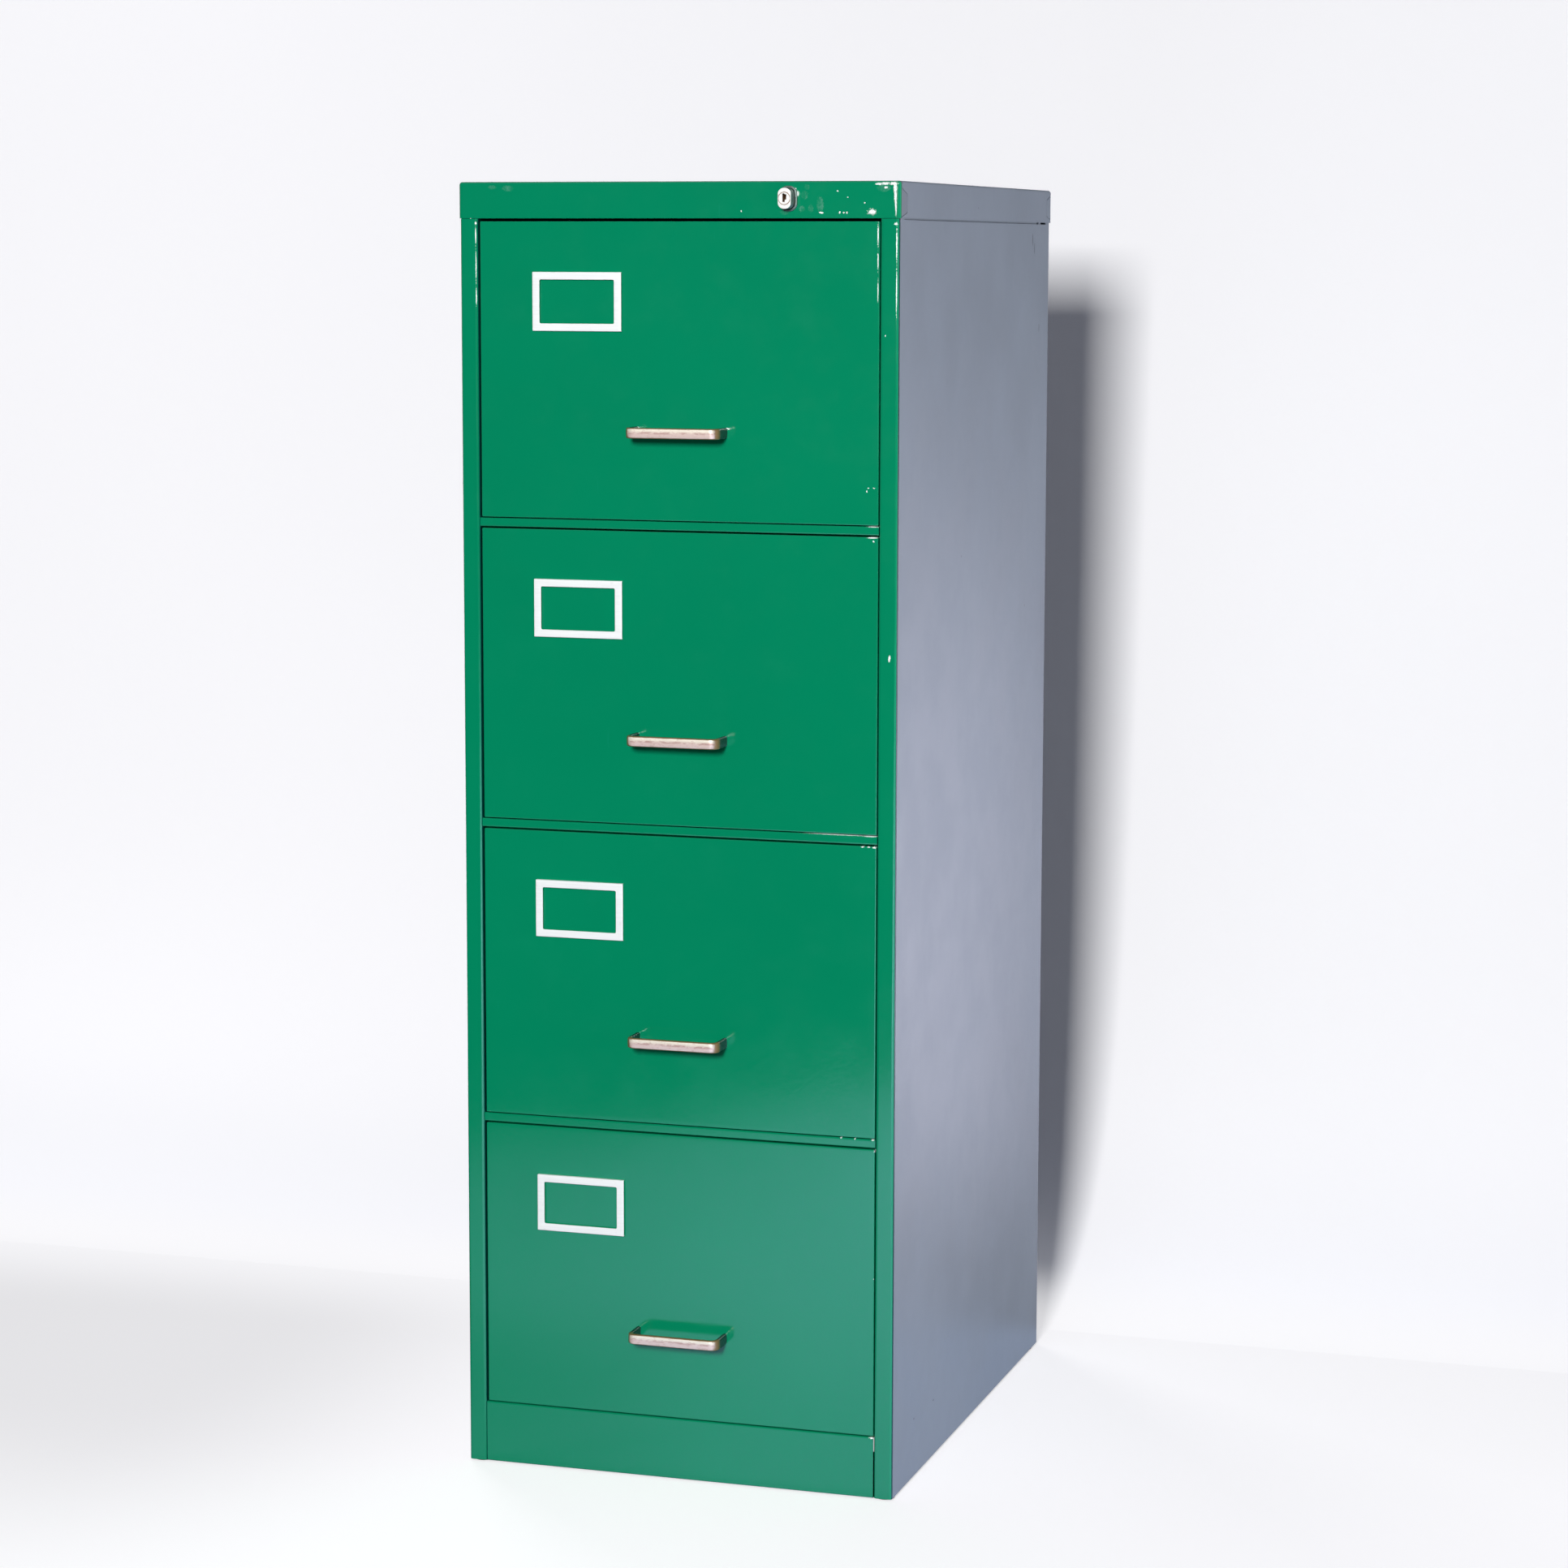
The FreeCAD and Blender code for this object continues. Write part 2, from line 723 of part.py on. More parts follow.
def ball_track(level, y_start):
    """A cage strip with its balls. The strip has a hole for each ball."""
    track_x = (flange_start_x + middle_web_x) / 2.0
    pitch = cage_length / balls_per_cage
    cage = box(about(track_x, cage_width), (y_start, y_start + cage_length), about(level, cage_sheet))
    balls = []
    for n in range(balls_per_cage):
        centre = Vector(track_x, y_start + pitch * (n + 0.5), level)
        cage = cage.cut(rod(ball_diameter + ball_room, centre - ALONG_Z * past, ALONG_Z, 2.0 * past))
        balls.append(Part.makeSphere(ball_diameter / 2.0, centre))
    return [cage] + balls


def ball_cages(level):
    """The outer cages run in the rear half of the middle member and the inner ones in its front half."""
    pieces = []
    outer_gap = (outer_half_height - slide_metal + middle_half_height) / 2.0
    inner_gap = (middle_half_height - slide_metal + inner_half_height) / 2.0
    front_half = front + slide_start + cage_start
    rear_half = front_half + drawer_travel / 2.0
    for up in (-1.0, 1.0):
        pieces += ball_track(level + up * outer_gap, rear_half)
        pieces += ball_track(level + up * inner_gap, front_half)
    return pieces + [mirrored(piece) for piece in pieces]


def runner_buffer(level):
    """The rubber stop at the back of the outer member, which the moving members meet."""
    start = front + slide_moving_end + buffer_room
    x_range = (tray_x + buffer_inset, slide_outer_x - slide_metal)
    return box(x_range, (start, start + buffer_length), about(level, buffer_height))


def runner_screw(level, y):
    """A pan-head screw through the outer member into the post."""
    head_x = slide_outer_x - slide_metal
    diameter, thickness = slide_screw_head
    shank = rod(slide_screw, Vector(head_x, front + y, level), ALONG_X, slide_screw_length)
    head = rod(diameter, Vector(head_x - thickness, front + y, level), ALONG_X, thickness)
    return one_solid(shank.fuse(head))


# Drawers

def drawer_front(bottom):
    """A pan folded from one sheet, with narrow flanges around its open back."""
    left = drawer_left_gap - post_x
    right = post_x - drawer_right_gap
    y_range = (front, front + drawer_front_depth)
    top = bottom + drawer_front_height
    pan = box((left, right), y_range, (bottom, top))
    pan = rounded(pan, drawer_edge_radius, lambda centre: near(centre.y, front))
    hollow_x = (left + sheet, right - sheet)
    hollow_y = (front + sheet, y_range[1] - sheet)
    pan = pan.cut(box(hollow_x, hollow_y, (bottom + sheet, top - sheet)))
    mouth_x = (left + front_side_flange, right - front_side_flange)
    mouth_z = (bottom + front_end_flange, top - front_end_flange)
    pan = pan.cut(box(mouth_x, (hollow_y[1] - past, y_range[1] + past), mouth_z))
    level = bottom + handle_above_bottom
    for x in handle_leg_places:
        start = Vector(x, front - past, level)
        pan = pan.cut(rod(handle_screw + handle_screw_room, start, ALONG_Y, sheet + 2.0 * past))
    for tab in label_tabs(bottom, label_tab_room):
        pan = pan.cut(tab)
    return one_solid(pan)


def drawer_tray(bottom):
    """The tray behind the front: folded floor and sides with turned-in rails, and end walls."""
    low = bottom + tray_floor
    top = low + tray_side_height
    lip = tray_x - tray_lip_width
    points = [
        (-lip, top - tray_lip_drop),
        (-lip, top),
        (-tray_x, top),
        (-tray_x, low),
        (tray_x, low),
        (tray_x, top),
        (lip, top),
        (lip, top - tray_lip_drop),
    ]
    y_range = (front + drawer_front_depth, front + tray_back)
    tray = bent_sheet("XZ", points, y_range[0], y_range[1])
    inset = sheet / 2.0
    wall_x = (-tray_x + inset, tray_x - inset)
    front_wall = box(wall_x, (y_range[0], y_range[0] + sheet), (low + inset, low + tray_front_height))
    back_wall = box(wall_x, (y_range[1] - sheet, y_range[1]), (low + inset, top - inset))
    return one_solid(tray.fuse(front_wall).fuse(back_wall))


# Handle: a flat strip with softened edges, bent at both ends, screwed on from inside

def handle(bottom):
    level = bottom + handle_above_bottom
    left, right = about(handle_centre_x, handle_length)
    out = front - handle_reach
    points = [(left, front), (left, out), (right, out), (right, front)]
    z_range = about(level, handle_height)
    bend = handle_bend - handle_thickness
    strip = bent_sheet("XY", points, z_range[0], z_range[1], handle_thickness, bend)

    def long_edge(centre):
        on_face = near(centre.z, z_range[0]) or near(centre.z, z_range[1])
        return on_face and not near(centre.y, front)

    strip = rounded(strip, handle_edge, long_edge)
    depth = handle_screw_depth + handle_screw_room
    for x in handle_leg_places:
        strip = strip.cut(rod(handle_screw, Vector(x, front - depth, level), ALONG_Y, depth + past))
    return one_solid(strip)


def handle_screws(bottom):
    level = bottom + handle_above_bottom
    diameter, thickness = handle_screw_head
    slot_width, slot_depth = screw_slot
    head_y = front + sheet
    slot_y = (head_y + thickness - slot_depth, head_y + thickness + past)
    screws = []
    for x in handle_leg_places:
        shank_start = Vector(x, front - handle_screw_depth, level)
        shank = rod(handle_screw, shank_start, ALONG_Y, handle_screw_depth + 2.0 * sheet)
        head = rod(diameter, Vector(x, head_y, level), ALONG_Y, thickness)
        slot = box(about(x, diameter), slot_y, about(level, slot_width))
        screws.append(one_solid(shank.fuse(head).cut(slot)))
    return screws


# Label frame: a flat rim on returned edges at its top, bottom and left; cards slide in at the right

def label_tabs(bottom, grow):
    """The four tabs that hold the frame, as blocks through the drawer front."""
    top = bottom + drawer_front_height - label_below_top
    low = top - label_height
    tabs = []
    for x in (label_left + label_tab_inset, label_left + label_width - label_tab_inset):
        x_range = about(x, label_tab_width + 2.0 * grow)
        y_range = (front - past, front + sheet + past)
        tabs.append(box(x_range, y_range, (top - label_plate - grow, top + grow)))
        tabs.append(box(x_range, y_range, (low - grow, low + label_plate + grow)))
    return tabs


def label_frame(bottom):
    top = bottom + drawer_front_height - label_below_top
    low = top - label_height
    right = label_left + label_width
    out = front - label_reach
    frame = box((label_left, right), (out, front), (low, top))
    frame = rounded(frame, label_edge, lambda centre: near(centre.y, out))
    hollow_x = (label_left + label_plate, right + past)
    hollow_z = (low + label_plate, top - label_plate)
    hollow = box(hollow_x, (out + label_plate, front + past), hollow_z)
    window_x = (label_left + label_border, right - label_border)
    window_y = about(out + label_plate / 2.0, 3.0 * label_plate)
    window = box(window_x, window_y, (low + label_border, top - label_border))
    window = rounded(window, label_corner, lambda centre: near(centre.y, out + label_plate / 2.0))
    frame = frame.cut(hollow).cut(window)
    for tab in label_tabs(bottom, 0.0):
        frame = frame.fuse(tab)
    return one_solid(frame)


# Lock: a button slides in its housing and swings a shaft, and the shaft lifts the long bar

def lock_plunger():
    """The push button: a rounded block bored for the plug, with a stepped tail for the lever."""
    y_range = (front - lock_reach, front + lock_inside)
    button = rounded(lock_block(0.0, y_range), lock_edge, lambda centre: near(centre.y, y_range[0]))
    bore_start = Vector(lock_x, y_range[0] - past, lock_z)
    bore = rod(plug_diameter + 2.0 * plug_fit, bore_start, ALONG_Y, plug_length + past + plug_fit * 2.0)
    tail_start = Vector(lock_x, y_range[1] - past, lock_z)
    whole_tail = button_nose_end - tail_start.y
    tail = rod(tail_diameter, tail_start, ALONG_Y, whole_tail - nose_length)
    nose = rod(nose_diameter, tail_start, ALONG_Y, whole_tail)
    return one_solid(button.cut(bore).fuse(tail).fuse(nose))


def lock_plug():
    """The turning core, with the stepped slot for a key."""
    start = front - lock_reach
    plug = rod(plug_diameter, Vector(lock_x, start, lock_z), ALONG_Y, plug_length)
    slot_y = (start - past, start + key_slot_depth + past)
    slot_x = lock_x - key_slot_left
    slot_z = lock_z - key_slot_low
    ward_x = lock_x - key_ward_left
    ward_z = lock_z - key_ward_low
    plug = plug.cut(box((slot_x, slot_x + key_slot[0]), slot_y, (slot_z, slot_z + key_slot[1])))
    return plug.cut(box((ward_x, ward_x + key_ward[0]), slot_y, (ward_z, ward_z + key_ward[1])))


def lock_housing():
    """The sleeve with its bezel, and the plate behind the fascia that holds it."""
    sleeve = lock_block(lock_fit + sleeve_wall, (front - sleeve_lap, front + sleeve_depth))
    bezel = lock_block(lock_fit + 2.0 * sleeve_wall, (front - bezel_reach, front))
    bezel = rounded(bezel, bezel_edge, lambda centre: near(centre.y, front - bezel_reach))
    bore = lock_block(lock_fit, (front - well_past, front + sleeve_depth + well_past))
    housing = one_solid(sleeve.fuse(bezel).cut(bore))
    plate_width, plate_sheet = lock_plate
    plate_y = (front + cap_sheet, front + cap_sheet + plate_sheet)
    plate_z = (cap_bottom + cap_sheet + lock_plate_room, cap_under - fold_room)
    plate = box(about(lock_x, plate_width), plate_y, plate_z)
    hole = lock_block(lock_fit + sleeve_wall + sleeve_room, (front, plate_y[1] + well_past))
    return [housing, plate.cut(hole)]


def lock_shaft():
    """The shaft across the head of the cabinet, with the pushed lever and the lifting lever."""
    shaft_start = lock_x - shaft_beyond_button
    shaft_length = side_x - shaft_end_room - shaft_start
    whole = rod(shaft_diameter, Vector(shaft_start, shaft_y, shaft_z), ALONG_X, shaft_length)
    lever_x = about(lock_x, lever_width)
    hub = rod(lever_hub, Vector(lever_x[0], shaft_y, shaft_z), ALONG_X, lever_width)
    lever = box(lever_x, about(shaft_y, lever_thickness), (shaft_z, shaft_z + lever_length))
    tip_start = Vector(lever_x[0], shaft_y, shaft_z + lever_length)
    tip = rod(2.0 * lever_tip, tip_start, ALONG_X, lever_width)
    lift_x = bar_x[1] + lift_room
    hub_start = Vector(lift_x, shaft_y, shaft_z)
    lifting_hub = rod(lift_hub, hub_start, ALONG_X, lift_lever_thickness)
    lift_y = (shaft_y - lift_lever_length, shaft_y)
    lift = box((lift_x, lift_x + lift_lever_thickness), lift_y, about(shaft_z, lift_lever_height))
    pin_start = Vector(lift_pin_x, lift_y[0], shaft_z)
    pin = rod(lift_pin, pin_start, ALONG_X, lift_x + lift_lever_thickness - lift_pin_x)
    for piece in (hub, lever, tip, lifting_hub, lift, pin):
        whole = whole.fuse(piece)
    whole.rotate(Vector(0.0, shaft_y, shaft_z), ALONG_X, half_swing)
    return one_solid(whole)


def lock_bar():
    """The upright bar behind the right post. A tongue beside each drawer rises into its catch."""
    slot_z = shaft_z - lift_lever_length * math.sin(math.radians(half_swing))
    bar = box(bar_x, bar_y, (bar_bottom, slot_z + bar_above_slot))
    slot_x = (bar_x[0] - past, bar_x[1] + past)
    slot_y = (shaft_y - bar_slot_front, shaft_y - bar_slot_rear)
    bar = bar.cut(box(slot_x, slot_y, about(slot_z, bar_slot_height)))
    for bottom in drawer_bottoms:
        low = bottom + tongue_above_bottom
        bar = bar.fuse(box((tray_x + tongue_from_tray, bar_x[1]), tongue_y, (low, low + tongue_height)))
    return one_solid(bar)


def lock_bar_spring():
    """The spring that draws the bar down again."""
    length = bar_bottom - spring_bottom - spring_wire
    helix = Part.makeHelix(length / spring_turns, length, spring_radius)
    profile = Part.Wire(Part.makeCircle(spring_wire / 2.0, Vector(spring_radius, 0, 0), ALONG_Y))
    coil = Part.Wire(helix).makePipeShell([profile], True, True)
    coil.translate(Vector(*bar_middle, spring_bottom + spring_wire / 2.0))
    return coil.Solids[0]


def drawer_catch(bottom):
    """The block on the drawer's side whose notch takes the bar's tongue from below."""
    low = bottom + tongue_above_bottom + tongue_height + catch_above_tongue
    notch_y = (tongue_y[0] - catch_side_room, tongue_y[1] + catch_side_room)
    block_y = (notch_y[0] - catch_wall, notch_y[1] + catch_wall)
    block = box((tray_x, tray_x + catch_width), block_y, (low, low + catch_height))
    notch_x = (tray_x + catch_back, tray_x + catch_width + past)
    return block.cut(box(notch_x, notch_y, (low - past, low + catch_height - catch_roof)))


def shaft_hanger(x):
    """A plate under the cap that carries the shaft."""
    levels = (shaft_z - hanger_below_shaft, cap_under)
    plate = box((x, x + hanger_thickness), about(shaft_y, hanger_depth), levels)
    start = Vector(x - past, shaft_y, shaft_z)
    return plate.cut(rod(shaft_diameter + hanger_room, start, ALONG_X, hanger_thickness + 2.0 * past))


def bar_guide(level):
    """A block on the side panel with a slot that the bar slides in."""
    guide_x = (bar_x[0] - guide_side_wall, inner_side_x)
    guide_y = (bar_y[0] - guide_wall, bar_y[1] + guide_wall)
    room_x = (bar_x[0] - guide_room, bar_x[1] + guide_room)
    room_y = (bar_y[0] - guide_room, bar_y[1] + guide_room)
    room = box(room_x, room_y, about(level, guide_height + 2.0 * past))
    return box(guide_x, guide_y, about(level, guide_height)).cut(room)


def lock_brackets():
    """Two hangers for the shaft, four guides for the bar and the lower post of its spring."""
    pieces = [shaft_hanger(lock_x - hanger_beside_button), shaft_hanger(post_x - hanger_before_post)]
    for bottom in drawer_bottoms:
        pieces.append(bar_guide(bottom + tongue_above_bottom - guide_below_tongue))
    ring_top = foot_height + base_height
    pieces.append(rod(spring_post, Vector(*bar_middle, ring_top), ALONG_Z, spring_bottom - ring_top))
    return pieces


os.makedirs("parts", exist_ok=True)

# Fixed pieces

save("side_panel_right", side_panel())
save("side_panel_left", mirrored(side_panel()))
save("front_post_right", front_post())
save("front_post_left", mirrored(front_post()))
save("rear_posts", *both_sides(rear_post()))
save("back_panel", back_panel())
save("top_cap", top_cap())
save("cap_fascia", cap_fascia())
save("cross_rails", *cross_rails())
save("plinth_panel", plinth_panel())
save("base_frame", base_frame())
feet = [(side * x, y) for x, y in foot_places for side in (-1.0, 1.0)]
save("levelling_feet", *[levelling_foot(x, y) for x, y in feet])
save("foot_nuts", *[foot_nut(x, y) for x, y in feet])
save("lock_housing", *lock_housing())
save("lock_brackets", *lock_brackets())

levels = [bottom + slide_above_bottom for bottom in drawer_bottoms]
runners = []
buffers = []
screws = []
for level in levels:
    runners += both_sides(cabinet_runner(level))
    buffers += both_sides(runner_buffer(level))
    for y in slide_screw_places:
        screws += both_sides(runner_screw(level, y))
save("cabinet_runners", *runners)
save("runner_buffers", *buffers)
save("runner_screws", *screws)

# Moving pieces of the lock

save("lock_plunger", lock_plunger())
save("lock_plug", lock_plug())
save("lock_shaft", lock_shaft())
save("lock_bar", lock_bar())
save("lock_bar_spring", lock_bar_spring())

# Drawers and their slides, numbered from the top

for number, (bottom, level) in enumerate(zip(drawer_bottoms, levels), start=1):
    tail = "_" + str(number)
    save("drawer_front" + tail, drawer_front(bottom))
    save("drawer_tray" + tail, drawer_tray(bottom))
    save("drawer_runners" + tail, *both_sides(inner_member(level)))
    save("drawer_catch" + tail, drawer_catch(bottom))
    save("handle" + tail, handle(bottom))
    save("handle_screws" + tail, *handle_screws(bottom))
    save("label_frame" + tail, label_frame(bottom))
    save("slide_members" + tail, *both_sides(middle_member(level)))
    save("ball_cages" + tail, *ball_cages(level))
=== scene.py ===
"""Looks of a four-drawer steel filing cabinet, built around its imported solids.

The file is laid out as a Blender add-on and is run as a script. All lengths are in metres: X runs to
the right, Y to the back and Z up, with the floor at zero and the drawers opening towards -Y.
"""
import functools
import json
import math

import bmesh
import bpy
import numpy as np
from bpy.props import FloatProperty, FloatVectorProperty, PointerProperty
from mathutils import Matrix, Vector

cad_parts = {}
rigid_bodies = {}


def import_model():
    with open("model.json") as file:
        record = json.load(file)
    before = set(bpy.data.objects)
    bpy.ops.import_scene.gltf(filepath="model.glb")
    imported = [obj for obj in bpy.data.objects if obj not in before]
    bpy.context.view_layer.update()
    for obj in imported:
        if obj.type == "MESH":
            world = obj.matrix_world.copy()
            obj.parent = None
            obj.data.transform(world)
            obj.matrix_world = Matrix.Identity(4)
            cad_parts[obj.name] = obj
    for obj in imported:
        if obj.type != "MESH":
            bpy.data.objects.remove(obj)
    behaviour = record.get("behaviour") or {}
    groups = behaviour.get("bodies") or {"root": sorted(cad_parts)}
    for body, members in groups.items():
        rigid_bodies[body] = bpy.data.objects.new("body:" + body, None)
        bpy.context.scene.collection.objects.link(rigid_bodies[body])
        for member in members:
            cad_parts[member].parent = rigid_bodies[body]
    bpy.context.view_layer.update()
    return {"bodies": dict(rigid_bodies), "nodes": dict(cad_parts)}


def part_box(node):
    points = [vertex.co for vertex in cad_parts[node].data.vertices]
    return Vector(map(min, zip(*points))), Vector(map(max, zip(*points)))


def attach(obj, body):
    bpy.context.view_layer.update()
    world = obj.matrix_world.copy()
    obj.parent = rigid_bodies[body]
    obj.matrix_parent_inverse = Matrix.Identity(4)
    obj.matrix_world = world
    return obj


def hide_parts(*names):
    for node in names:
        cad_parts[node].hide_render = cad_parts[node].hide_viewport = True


bl_info = {
    "name": "Steel Filing Cabinet",
    "version": (1, 0, 0),
    "blender": (4, 5, 0),
    "location": "View3D > Sidebar > Cabinet",
    "description": "Pans, handles, label frames, lock, paint and studio of a four-drawer filing cabinet",
    "category": "Object",
}

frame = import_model()

DRAWERS = [body for body in frame["bodies"] if body.startswith("drawer_")]
NUMBERS = range(1, len(DRAWERS) + 1)
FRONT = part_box("drawer_front_1")[0].y
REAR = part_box("top_cap")[1].y
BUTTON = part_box("lock_plunger")
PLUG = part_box("lock_plug")

WELD = 2e-6
SHARP_ANGLE = math.radians(38.0)
FULL_TURN = 2.0 * math.pi
RIGHT_ANGLE = math.pi / 2.0


def length(name, text, default):
    """A length property in metres."""
    return FloatProperty(name=name, description=text, default=default, min=0.0, unit="LENGTH", precision=5)


def colour(name, text, default):
    """A colour property, in linear red, green and blue."""
    return FloatVectorProperty(
        name=name, description=text, default=default, min=0.0, max=1.0, size=3, subtype="COLOR"
    )


class PanSizes(bpy.types.PropertyGroup):
    """Sizes of the pan that makes a drawer's front."""

    sheet: length("Sheet", "Thickness of the steel", 0.001)
    edge_bend: length("Edge bend", "Outer radius of the folds around the face", 0.0012)
    corner: length("Corner", "Radius of the pan's four corners seen from the front", 0.0012)
    side_lip: length("Side lip", "How far the rear flanges turn in at the sides", 0.018)
    end_lip: length("End lip", "How far the rear flanges turn in at top and bottom", 0.014)
    waviness: length("Waviness", "How far the face swings out of flat", 0.00012)
    quiet_border: length("Quiet border", "Width beside the folds that stays flat", 0.03)


class HandleSizes(bpy.types.PropertyGroup):
    """Sizes of a bow handle, bent from flat strip."""

    strip: length("Strip", "Thickness of the strip", 0.0046)
    bend: length("Bend", "Outer radius of the two bends", 0.009)
    edge: length("Edge", "Radius of the strip's long edges", 0.0016)
    crown: length("Crown", "How much higher the strip's middle stands than its edges", 0.00025)
    dents: length("Dents", "Depth of the shallow knocks", 0.00006)


class LabelSizes(bpy.types.PropertyGroup):
    """Sizes of a label frame."""

    plate: length("Plate", "Thickness of the frame's metal", 0.0009)
    border: length("Border", "Width of the rim around the window", 0.0075)
    edge: length("Edge", "Radius of the rim's outer edge", 0.0007)
    window_corner: length("Window corner", "Radius of the window's corners", 0.0015)
    window_edge: length("Window edge", "Radius of the rim's edge at the window", 0.00035)
    crown: length("Crown", "How much the rim's middle stands out", 0.00012)


class LockSizes(bpy.types.PropertyGroup):
    """Sizes of the lock button and of its turning plug."""

    width: length("Width", "Width of the button", 0.0134)
    tall: length("Height", "Height of the button", 0.0202)
    corner: length("Corner", "Corner radius of the button's outline", 0.0060)
    edge: length("Edge", "Radius of the face's edge", 0.0007)
    body: length("Body", "Length of the button's full section", 0.029)
    groove: length("Groove", "Depth of the grip groove round the button", 0.00035)
    bore: length("Bore", "Radius of the hole for the plug", 0.0063)
    bore_depth: length("Bore depth", "Depth of the hole for the plug", 0.0228)
    tail: length("Tail", "Radius of the tail behind the button", 0.004)
    nose: length("Nose", "Radius of the tail's thin end", 0.0015)
    nose_length: length("Nose length", "Length of the tail's thin end", 0.008)
    chamfer: length("Chamfer", "Width of the small bevels around the face's edges", 0.0002)
    key_depth: length("Key depth", "Depth of the key slot", 0.015)


class Colours(bpy.types.PropertyGroup):
    """Colours of the finishes."""

    green: colour("Green enamel", "Gloss paint of the front", (0.0004, 0.226, 0.103))
    # Painted shade: a dark green laid where the front posts' paint wraps round towards the side panels
    seam: colour("Seam", "Shaded green beside the side panels", (0.0002, 0.060, 0.048))
    grey: colour("Grey enamel", "Satin paint of the sides and cap", (0.232, 0.264, 0.320))
    # Painted highlight: the cream is laid on the handles' upper half, where the light from above falls
    nickel: colour("Nickel", "Clean nickel plate at the top of the handles", (0.88, 0.80, 0.66))
    rosy: colour("Rosy nickel", "Worn nickel lower on the handles", (0.72, 0.55, 0.50))
    bloom: colour("Bloom", "Red-brown mottling on the nickel", (0.46, 0.25, 0.22))
    tarnish: colour("Tarnish", "Brown metal at the handles' bends", (0.30, 0.18, 0.08))
    label: colour("Label metal", "Bright label frames", (0.845, 0.86, 0.855))
    chrome: colour("Chrome", "Plating of the lock", (0.87, 0.86, 0.83))
    brass: colour("Brass", "Metal inside the key slot", (0.30, 0.14, 0.05))
    # Also the colour of painted highlights on folds and edges, laid on through the same spots as the chips
    bare_and_highlight: colour("Bare spots", "Pale ground where the paint is chipped", (0.86, 0.90, 0.87))
    zinc: colour("Zinc", "Plated slides and lock works", (0.60, 0.61, 0.60))
    rubber: colour("Rubber", "Stops of the slides", (0.018, 0.017, 0.016))
    foot: colour("Foot", "Brown glides under the feet", (0.16, 0.065, 0.035))


class StudioSettings(bpy.types.PropertyGroup):
    """Light and background."""

    pale: colour("Paper", "Pale floor and backdrop", (0.950, 0.942, 0.950))
    ambient: colour("Ambient", "Soft light from all round", (0.115, 0.122, 0.150))
    dark: colour("Dark side", "What glossy surfaces see behind the camera", (0.006, 0.007, 0.010))
    key: FloatProperty(name="Key", description="Power of the main lamp in watts", default=360.0, min=0.0)
    side: FloatProperty(name="Side", description="Power of the right lamp in watts", default=50.0, min=0.0)
    rear: FloatProperty(name="Rear", description="Power of the lamp at the rear left", default=45.0, min=0.0)


# Surfaces

RING_POINTS = 96
BOW_POINTS = (5, 13, 49)
PAN_GRID = (29, 21)
FOLD_MIDDLE = 0.3
SWING_SPEEDS = (9.0, 13.0, 23.0, 17.0)
SWING_SHIFTS = (1.7, 0.9, 2.3)
KNOCK_SPEEDS = ((610.0, 900.0, 1.0), (233.0, -420.0, 2.0))
BAR_START = 0.70
BAR_FADE = 0.25
GROOVE_STARTS = (0.0035, 0.0062)
SLOT_MIDDLE = np.array([0.0002, 0.0013])
FACE_RING = 0.72


def grid_quads(rows, columns, close_rows, close_columns):
    """Corner numbers of a grid's quads. Point (row, column) has the number row * columns + column."""
    row = np.arange(rows if close_rows else rows - 1)[:, None]
    column = np.arange(columns if close_columns else columns - 1)[None, :]
    next_row = (row + 1) % rows
    next_column = (column + 1) % columns
    corners = [
        row * columns + column,
        row * columns + next_column,
        next_row * columns + next_column,
        next_row * columns + column,
    ]
    return np.stack(np.broadcast_arrays(*corners), axis=-1).reshape(-1, 4)


def make_piece(name, patches, fields=None):
    """An object made of patches, each an array of points (rows, columns, 3) and whether its rows and
    its columns close. Equal points are welded, and the closed skin is turned outwards. fields are
    values for each point, kept under their names."""
    points = np.concatenate([patch.reshape(-1, 3) for patch, _, _ in patches])
    starts = np.cumsum([0] + [patch.shape[0] * patch.shape[1] for patch, _, _ in patches])
    faces = np.concatenate([
        start + grid_quads(patch.shape[0], patch.shape[1], close_rows, close_columns)
        for start, (patch, close_rows, close_columns) in zip(starts, patches)
    ])
    mesh = bpy.data.meshes.new(name)
    mesh.from_pydata(points.tolist(), [], faces.tolist())
    for field, values in (fields or {}).items():
        mesh.attributes.new(field, "FLOAT", "POINT").data.foreach_set("value", values.astype(np.float32))
    shell = bmesh.new()
    shell.from_mesh(mesh)
    bmesh.ops.remove_doubles(shell, verts=shell.verts, dist=WELD)
    bmesh.ops.dissolve_degenerate(shell, edges=shell.edges, dist=WELD)
    if shell.calc_volume(signed=True) < 0.0:
        bmesh.ops.reverse_faces(shell, faces=shell.faces)
    open_edges = sum(len(edge.link_faces) != 2 for edge in shell.edges)
    if open_edges:
        raise RuntimeError(f"{name} has {open_edges} open edges")
    shell.to_mesh(mesh)
    shell.free()
    mesh.polygons.foreach_set("use_smooth", np.ones(len(mesh.polygons), bool))
    mesh.set_sharp_from_angle(angle=SHARP_ANGLE)
    piece = bpy.data.objects.new(name, mesh)
    bpy.context.scene.collection.objects.link(piece)
    weighted = piece.modifiers.new("Even shading", "WEIGHTED_NORMAL")
    weighted.keep_sharp = True
    return piece


def measure(box):
    """The middle of a box's front, half its width and height, and its depth."""
    low, high = box
    centre = ((low.x + high.x) / 2.0, low.y, (low.z + high.z) / 2.0)
    return centre, ((high.x - low.x) / 2.0, (high.z - low.z) / 2.0), high.y - low.y


def fit(piece, body, node, finish):
    """The piece rides on a body, stands for a node, and takes a slot and a finish."""
    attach(piece, body)
    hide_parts(node)
    piece.data.materials.append(finish)


def fit_each(make, sizes, node, finish):
    """Makes and fits a piece for each drawer."""
    for number, body in zip(NUMBERS, DRAWERS):
        fit(make(number, sizes), body, f"{node}_{number}", finish)


